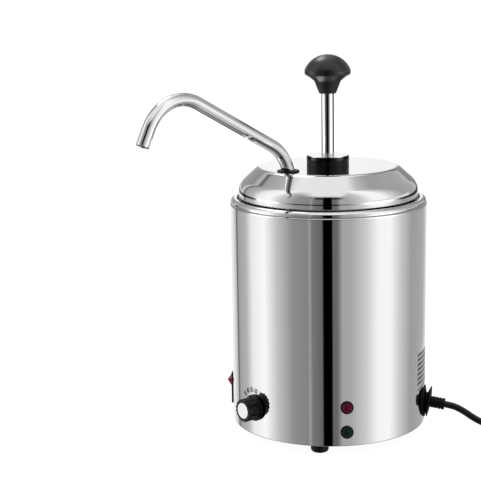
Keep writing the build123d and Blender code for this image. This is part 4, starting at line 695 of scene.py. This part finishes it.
# %% Spout tube
SPOUT_COLUMNS, LIP_STEPS = 64, 7
lip = np.linspace(0, pi, LIP_STEPS)
count = len(places)
last = count - 1
half_wall = SPOUT_WALL / 2
row_place = np.concatenate([np.arange(count), np.full(LIP_STEPS, last), np.arange(last, -1, -1)])
outer, inner = np.full(count, SPOUT_RADIUS), np.full(count, SPOUT_RADIUS - SPOUT_WALL)
row_radius = np.concatenate([outer, SPOUT_RADIUS - half_wall * (1 - np.cos(lip)), inner])
row_ahead = np.concatenate([np.zeros(count), half_wall * (np.sin(lip) - 1), np.zeros(count)])
row_ahead[[last, count + LIP_STEPS]] = -half_wall
around = np.linspace(0, 2 * pi, SPOUT_COLUMNS, endpoint=False)
side = np.array([1.0, 0, 0])
fore = np.cross(ways, side)
spoke = np.cos(around)[None, :, None] * side + np.sin(around)[None, :, None] * fore[row_place][:, None]
tube = places[row_place][:, None] + spoke * row_radius[:, None, None]
tube += (ways[row_place] * row_ahead[:, None])[:, None]
build("spout", tube, cells(len(row_place), SPOUT_COLUMNS, True), "pump", "polished_steel", ("spout_tube",))

# %% [markdown]
# ## Pump collar, rod and plunger knob
# The collar is a glossy moulded cap nut with a parting groove round it and a bright disc on top. The rod
# passes through it up into the knob, which has a domed head, a coved underside and a tapered neck. All are
# turned pieces with small rounds on their edges.

# %% Collar and rod
COLLAR_TOP, COLLAR_RADIUS, DISC_RADIUS, DISC_UNDER = 270.8, 20.4, 20.0, 270.0
GROOVE_LOW, GROOVE_HIGH, GROOVE_FLOOR = LID_TOP + 3.4, LID_TOP + 4.2, 20.0
ROD_RADIUS, ROD_HOLE, ROOF_UNDER, COLLAR_BORE = 6.0, 6.3, 268.5, 17.05
COLLAR_ROUNDS, DISC_ROUND = [0.2, 0.25, 0.2, 0.1, 0.1, 0.2, 0.35, 0.1, 0.2, 0.2], 0.2
collar_corners = [
    (COLLAR_BORE, LID_TOP), (COLLAR_RADIUS, LID_TOP), (COLLAR_RADIUS, GROOVE_LOW), (GROOVE_FLOOR, GROOVE_LOW),
    (GROOVE_FLOOR, GROOVE_HIGH), (COLLAR_RADIUS, GROOVE_HIGH), (COLLAR_RADIUS, DISC_UNDER),
    (ROD_HOLE, DISC_UNDER), (ROD_HOLE, ROOF_UNDER), (COLLAR_BORE, ROOF_UNDER),
]
collar = ring_outline(collar_corners, COLLAR_ROUNDS, steps=6)
lathe("collar", collar, "pump", "black_gloss", ("pump_collar",))
disc_corners = [(ROD_HOLE, DISC_UNDER), (DISC_RADIUS, DISC_UNDER), (DISC_RADIUS, COLLAR_TOP),
                (ROD_HOLE, COLLAR_TOP)]
lathe("collar_washer", ring_outline(disc_corners, DISC_ROUND), "pump", "polished_steel", ("collar_disc",))

KNOB_FOOT, KNOB_SOCKET, PISTON_TOP, STUD_LOW, STUD = 329.6, 24.0, 254.7, 236.2, 4.0
SOCKET_TOP, ROD_ROUNDS = KNOB_FOOT + KNOB_SOCKET, [0.6, 0.2, 0.3, 0.6]
rod_corners = [(0, STUD_LOW), (STUD, STUD_LOW), (STUD, PISTON_TOP), (ROD_RADIUS, PISTON_TOP),
               (ROD_RADIUS, SOCKET_TOP), (0, SOCKET_TOP)]
rod = rounded(rod_corners, ROD_ROUNDS, steps=5)[0]
lathe("rod", rod, "plunger", "polished_steel", ("plunger_rod",), columns=96, closed=False)

# %% Plunger knob
KNOB_RADIUS, KNOB_TOP, KNOB_NECK = 22.0, 366.7, (13.0, 12.0)
KNOB_UNDER, KNOB_EDGE, KNOB_COVE, KNOB_FOOT_RADIUS = (21.5, 18.0), (21.7, 23.0), 0.3, 8.1
SOCKET_RADIUS, SOCKET_RUN, NECK_ROUNDS = ROD_RADIUS + 0.05, 3.0, [0.3, 0.6]
foot = np.array([0, KNOB_FOOT])
neck_corners = [(SOCKET_RADIUS, KNOB_FOOT + SOCKET_RUN), (SOCKET_RADIUS, KNOB_FOOT),
                (KNOB_FOOT_RADIUS, KNOB_FOOT), foot + KNOB_NECK]
neck = rounded(neck_corners, NECK_ROUNDS, steps=5)[0]
cove = arc_through(foot + KNOB_NECK, KNOB_COVE, foot + KNOB_UNDER, 18)[1:]
rim_bow = KNOB_RADIUS - (KNOB_UNDER[0] + KNOB_EDGE[0]) / 2
rim = arc_through(foot + KNOB_UNDER, -rim_bow, foot + KNOB_EDGE, 12)[1:]
dome_rise = KNOB_TOP - KNOB_FOOT - KNOB_EDGE[1]
sphere = (KNOB_EDGE[0] ** 2 + dome_rise**2) / (2 * dome_rise)
dome_angle = np.linspace(np.arcsin(KNOB_EDGE[0] / sphere), 0, 30)[1:]
dome = np.stack([sphere * np.sin(dome_angle), KNOB_TOP - sphere + sphere * np.cos(dome_angle)], axis=1)
socket = np.array([(0, SOCKET_TOP), (SOCKET_RADIUS, SOCKET_TOP)])
knob = np.vstack([socket, neck, cove, rim, dome])
lathe("press_knob", knob, "plunger", "black_satin", ("plunger_knob",), columns=128, closed=False, corner=24)

# %% [markdown]
# ## Return spring
# Inside the pump's cylinder a coil spring pushes the plunger up again. It is made anew: a ring carried
# along a helix, with both ends closed.

# %% Return spring
SPRING_RADIUS, SPRING_WIRE, SPRING_TURNS, STROKE = 10.6, 0.9, 9, 50.0
TURN_STEPS, WIRE_SIDES = 32, 12
spring_low, spring_high = [corner[2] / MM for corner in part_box("return_spring")]
winding = np.linspace(0, 2 * pi * SPRING_TURNS, SPRING_TURNS * TURN_STEPS + 1)
climb = (spring_high - spring_low - 2 * SPRING_WIRE) / winding[-1]
outwards = np.stack([np.cos(winding), np.sin(winding), np.zeros_like(winding)], axis=1)
ahead = np.stack([-np.sin(winding), np.cos(winding), np.full_like(winding, climb / SPRING_RADIUS)], axis=1)
ahead /= np.linalg.norm(ahead, axis=1, keepdims=True)
upwards = np.cross(outwards, ahead)
helix = outwards * SPRING_RADIUS
helix[:, 2] = spring_low + SPRING_WIRE + climb * winding
ring = np.linspace(0, 2 * pi, WIRE_SIDES, endpoint=False)[None, :, None]
wire = helix[:, None] + SPRING_WIRE * (np.cos(ring) * outwards[:, None] + np.sin(ring) * upwards[:, None])
closing = np.ones((1, WIRE_SIDES, 1))
wire = np.concatenate([helix[:1, None] * closing, wire, helix[-1:, None] * closing])
spring = build("pump_spring", wire, cells(*wire.shape[:2]), "pump", "plain_steel", ("return_spring",))
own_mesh(spring)

# %% [markdown]
# ## Control knob
# The thermostat's knob has a conical skirt and sixteen flutes. Its radius is a function of the angle and
# the height: the turned profile, less the depth of a round scallop where the body is fluted. A spun metal
# cap closes it.

# %% Control knob
DIAL_AZIMUTH, DIAL_LEVEL = -4.1, FOOT_HEIGHT + 27.9
DIAL_LOW, DIAL_FRONT, DIAL_SKIRT, DIAL_RADIUS, DIAL_BORE = 0.9, 15.5, 12.6, 11.0, 9.0
SKIRT_EDGE, SKIRT_TOP, HOLLOW = 1.5, 3.0, 5.0
FLUTES, FLUTE_RADIUS, FLUTE_DEPTH, FLUTE_FADE, FLUTE_COLUMNS = 16, 1.6, 0.8, 0.6, 28
CAP_RADIUS, CAP_WALL, CAP_FIT, CAP_LAND, CAP_ROUNDS = 7.6, 0.8, 0.05, 1.5, [0.1, 0.25]
DIAL_ROUNDS = [0.3, 0.4, 0.5, 1.1, 0.3, 0.1]
dial = on_shell(DIAL_AZIMUTH, DIAL_LEVEL)
cap_seat = DIAL_FRONT - CAP_WALL
cap_hole = CAP_RADIUS + CAP_FIT
flutes_from = DIAL_LOW + SKIRT_TOP
body_corners = [
    (DIAL_BORE, DIAL_LOW), (DIAL_SKIRT, DIAL_LOW), (DIAL_SKIRT, DIAL_LOW + SKIRT_EDGE),
    (DIAL_RADIUS, flutes_from), (DIAL_RADIUS, DIAL_FRONT), (cap_hole, DIAL_FRONT), (cap_hole, cap_seat),
    (0, cap_seat),
]
body_path = rounded(body_corners, DIAL_ROUNDS, steps=7)[0]
inside = np.array([(0, DIAL_LOW + HOLLOW), (DIAL_BORE, DIAL_LOW + HOLLOW)])
dial_profile = np.vstack([inside, body_path])
dial_columns = FLUTES * FLUTE_COLUMNS
turn = np.linspace(0, 2 * pi, dial_columns, endpoint=False)
pitch = 2 * pi / FLUTES
offset = (turn + pitch / 2) % pitch - pitch / 2
flute_centre = DIAL_RADIUS + FLUTE_RADIUS - FLUTE_DEPTH
chord = np.maximum(FLUTE_RADIUS**2 - (flute_centre * np.sin(offset)) ** 2, 0)
scallop = np.clip(DIAL_RADIUS - flute_centre * np.cos(offset) + np.sqrt(chord), 0, FLUTE_DEPTH) * (chord > 0)
radius, height = dial_profile.T
fluted = np.clip((height - flutes_from) / FLUTE_FADE, 0, 1) * (radius > CAP_RADIUS + CAP_LAND)
grid = turned(dial_profile, dial_columns, *dial)
spokes = turned(np.array([(1.0, 0.0)]), dial_columns, (0, 0, 0), dial[1], dial[2])
grid -= spokes * (fluted[:, None] * scallop)[..., None]
dial_cells = cells(len(dial_profile), dial_columns)
build("dial_knob", grid, dial_cells, "dial", "black_gloss", ("control_knob",), corner=40)

cap_corners = [(0, cap_seat), (CAP_RADIUS, cap_seat), (CAP_RADIUS, DIAL_FRONT), (0, DIAL_FRONT)]
cap = rounded(cap_corners, CAP_ROUNDS, steps=6)[0]
lathe("dial_cap", cap, "dial", "bright_cap", ("knob_cap",), columns=96, closed=False, place=dial)

# %% [markdown]
# ## Numbers round the control knob
# The temperatures are printed on the shell in an arc over the knob. Text is the easy way to get clean
# figures: each number becomes a mesh, is turned to its place on the arc, and is then bent round the shell,
# because an arc length on the shell is an angle times its radius.

# %% Dial numbers
NUMBERS, NUMBER_STEP, NUMBER_RADIUS = ("30", "40", "50", "60", "70", "80"), radians(21), 17.8
NUMBER_SIZE, NUMBER_NARROW, NUMBER_SHIFT, NUMBER_DROP = 7.0, 0.68, -1.8, 1.1
INK, INK_LIFT, INK_BOLD = 0.03, 0.05, 0.12
printed = bmesh.new()
for place, number in enumerate(NUMBERS):
    text = bpy.data.curves.new("number", "FONT")
    text.body, text.size, text.extrude, text.offset = number, NUMBER_SIZE, INK, INK_BOLD
    text.align_x, text.align_y = "CENTER", "CENTER"
    holder = bpy.data.objects.new("number", text)
    mesh = bpy.data.meshes.new_from_object(holder)
    flat = np.empty(len(mesh.vertices) * 3)
    mesh.vertices.foreach_get("co", flat)
    across, along, lift = flat.reshape(-1, 3).T
    lean = (place - (len(NUMBERS) - 1) / 2) * NUMBER_STEP
    across, along = across * NUMBER_NARROW, along + NUMBER_RADIUS
    to_side = NUMBER_SHIFT + across * cos(lean) + along * sin(lean)
    to_top = along * cos(lean) - across * sin(lean)
    round_shell = DIAL_AZIMUTH + np.degrees(to_side / BODY_RADIUS)
    bent = (BODY_RADIUS + INK_LIFT + lift)[:, None] * outward(round_shell)
    bent += (DIAL_LEVEL - NUMBER_DROP + to_top)[:, None] * UP
    mesh.vertices.foreach_set("co", (bent * MM).ravel())
    printed.from_mesh(mesh)
    bpy.data.objects.remove(holder)
bmesh.ops.remove_doubles(printed, verts=printed.verts, dist=1e-7)
number_mesh = bpy.data.meshes.new("dial_numbers")
printed.to_mesh(number_mesh)
printed.free()
numbers = bpy.data.objects.new("dial_numbers", number_mesh)
scene.collection.objects.link(numbers)
dress(numbers, "base", "black_satin")

# %% [markdown]
# ## Signal lamps
# Each lamp is a black body with a thin flange on the shell, and a domed lens on the flange. The two bodies
# are one node in the frame, so their two grids go into one piece.

# %% Lamps
LAMP_AZIMUTH, RED_LEVEL, GREEN_LEVEL = 53.7, FOOT_HEIGHT + 37.9, FOOT_HEIGHT + 14.0
FLANGE_RADIUS, FLANGE_WALL, LENS_RADIUS, LENS_HEIGHT = 6.2, 1.4, 4.7, 2.8
STEM_RADIUS, STEM_LENGTH, FLANGE_SINK, LAMP_COLUMNS = 4.8, 24.0, 0.25, 64
LAMP_ROUNDS = [0.4, 0.2, 0.1, 0.5]
lamp_corners = [(0, -STEM_LENGTH), (STEM_RADIUS, -STEM_LENGTH), (STEM_RADIUS, -FLANGE_SINK),
                (FLANGE_RADIUS, -FLANGE_SINK), (FLANGE_RADIUS, FLANGE_WALL), (0, FLANGE_WALL)]
lamp_profile = rounded(lamp_corners, LAMP_ROUNDS, steps=6)[0]
lamp_places = [on_shell(LAMP_AZIMUTH, level) for level in (RED_LEVEL, GREEN_LEVEL)]
points, quads = together(*[turned(lamp_profile, LAMP_COLUMNS, *place) for place in lamp_places])
build("lamp_flanges", points, quads, "base", "black_gloss", ("lamp_bodies",))

lens_sphere = (LENS_RADIUS**2 + LENS_HEIGHT**2) / (2 * LENS_HEIGHT)
lens_angle = np.linspace(np.arccos(1 - LENS_HEIGHT / lens_sphere), 0, 16)
lens_top = FLANGE_WALL + LENS_HEIGHT
lens = np.stack([lens_sphere * np.sin(lens_angle), lens_top - lens_sphere * (1 - np.cos(lens_angle))], axis=1)
lens = np.vstack([(0, FLANGE_WALL), lens])
for colour, place in zip(("red", "green"), lamp_places):
    finish, node = f"{colour}_lens", f"{colour}_lamp_lens"
    lathe(finish, lens, "base", finish, (node,), LAMP_COLUMNS, closed=False, place=place)

# %% [markdown]
# ## Rocker switch
# The switch's housing is moulded: a tub in the shell, a bezel that lies on it and a window for the rocker.
# Every level of it is a rounded rectangle, so a list of rings, each with its half sizes, corner and height,
# makes it. The rocker is one outline drawn out sideways, a little smaller at both ends, which rounds its
# edges.

# %% Switch housing
SWITCH_AZIMUTH, SWITCH_LEVEL = -53.7, FOOT_HEIGHT + 27.1
switch_place, switch_side, switch_way = on_shell(SWITCH_AZIMUTH, SWITCH_LEVEL)


def framed(rings, shift=0.0, corner_points=8):
    """Rounded rectangles, one a row: four corner arcs each, set out from the switch's place.

    A ring is half width, half height, corner radius, height, and 1 where it follows the shell's curve.
    """
    half_x, half_y, corner, height, follow = np.asarray(rings, float).T[..., None]
    quarter = np.linspace(0, pi / 2, corner_points)
    angle = (quarter + np.arange(4)[:, None] * pi / 2).ravel()
    sign_x = np.repeat([1, -1, -1, 1], corner_points)
    sign_y = np.repeat([1, 1, -1, -1], corner_points)
    x = sign_x * (half_x - corner) + corner * np.cos(angle)
    y = sign_y * (half_y - corner) + corner * np.sin(angle) + shift
    z = height - follow * (BODY_RADIUS - np.sqrt(BODY_RADIUS**2 - x**2))
    return switch_place + x[..., None] * switch_side + y[..., None] * UP + z[..., None] * switch_way


housing = framed([
    (0, 0, 0, -22, 0), (10, 13, 0.5, -22, 0), (10.5, 13.5, 0.5, -21.5, 0), (10.5, 13.5, 0.5, -1, 0),
    (11.8, 15.5, 1.5, -0.05, 1), (12.5, 16.2, 2, 0, 1), (12.5, 16.2, 2, 0.7, 0), (12.4, 16.1, 1.9, 1.05, 0),
    (12.2, 15.9, 1.8, 1.28, 0), (11.9, 15.6, 1.6, 1.4, 0), (9.4, 11, 1, 1.4, 0), (8.8, 10.4, 0.7, 1.2, 0),
    (8.4, 10, 0.5, 0.8, 0), (8.4, 10, 0.5, -5, 0), (0, 0, 0, -5, 0),
])
BLADE_PLACE = 6.75
BLADE = [(0, 0, 0, -22, 0), (3.15, 0.4, 0.1, -22, 0), (3.15, 0.4, 0.1, -30, 0), (0, 0, 0, -30, 0)]
points, quads = together(housing, framed(BLADE, BLADE_PLACE), framed(BLADE, -BLADE_PLACE))
build("switch_frame", points, quads, "base", "black_satin", ("switch_housing",))

# %% Rocker
ROCKER_HALF, ROCKER_WIDTH, ROCKER_END, ROCKER_DIP, ROCKER_BARREL = 9.0, 16.0, 4.4, 1.3, 4.0
ROCKER_TILT, ROCKER_ROUND, ROCKER_HEART = radians(14), 0.6, (0, 0.3)
ROCKER_ROUNDS = [0.3, 0.7, 4, 0.7, 0.3]
face_corners = [(ROCKER_BARREL, 0), (ROCKER_HALF, 0), (ROCKER_HALF, ROCKER_END), (0, ROCKER_DIP),
                (-ROCKER_HALF, ROCKER_END), (-ROCKER_HALF, 0), (-ROCKER_BARREL, 0)]
face = rounded(face_corners, ROCKER_ROUNDS, steps=6)[0]
barrel_angle = np.linspace(pi, 2 * pi, 17)[1:-1]
barrel = ROCKER_BARREL * np.stack([np.cos(barrel_angle), np.sin(barrel_angle)], axis=1)
outline = np.vstack([face, barrel])
tangent = np.roll(outline, -1, axis=0) - np.roll(outline, 1, axis=0)
normal = np.stack([tangent[:, 1], -tangent[:, 0]], axis=1) / np.linalg.norm(tangent, axis=1, keepdims=True)
edge = np.linspace(0, pi / 2, 6)
inset = ROCKER_ROUND * (1 - np.sin(edge))
sideways = ROCKER_WIDTH / 2 - ROCKER_ROUND * (1 - np.cos(edge))
inset = np.concatenate([inset, inset[::-1]])
sideways = np.concatenate([-sideways, sideways[::-1]])
rows = outline + normal * -inset[:, None, None]
middle_point = np.broadcast_to(ROCKER_HEART, rows[:1].shape)
rows = np.concatenate([middle_point, rows, middle_point])
sideways = np.concatenate([sideways[:1], sideways, sideways[-1:]])
rocker_up = UP * cos(ROCKER_TILT) + switch_way * sin(ROCKER_TILT)
rocker_out = switch_way * cos(ROCKER_TILT) - UP * sin(ROCKER_TILT)
rocker = switch_place + rows[..., :1] * rocker_up + rows[..., 1:] * rocker_out
rocker = rocker + sideways[:, None, None] * switch_side
build("rocker", rocker, cells(*rocker.shape[:2]), "rocker", "red_rocker", ("switch_rocker",))
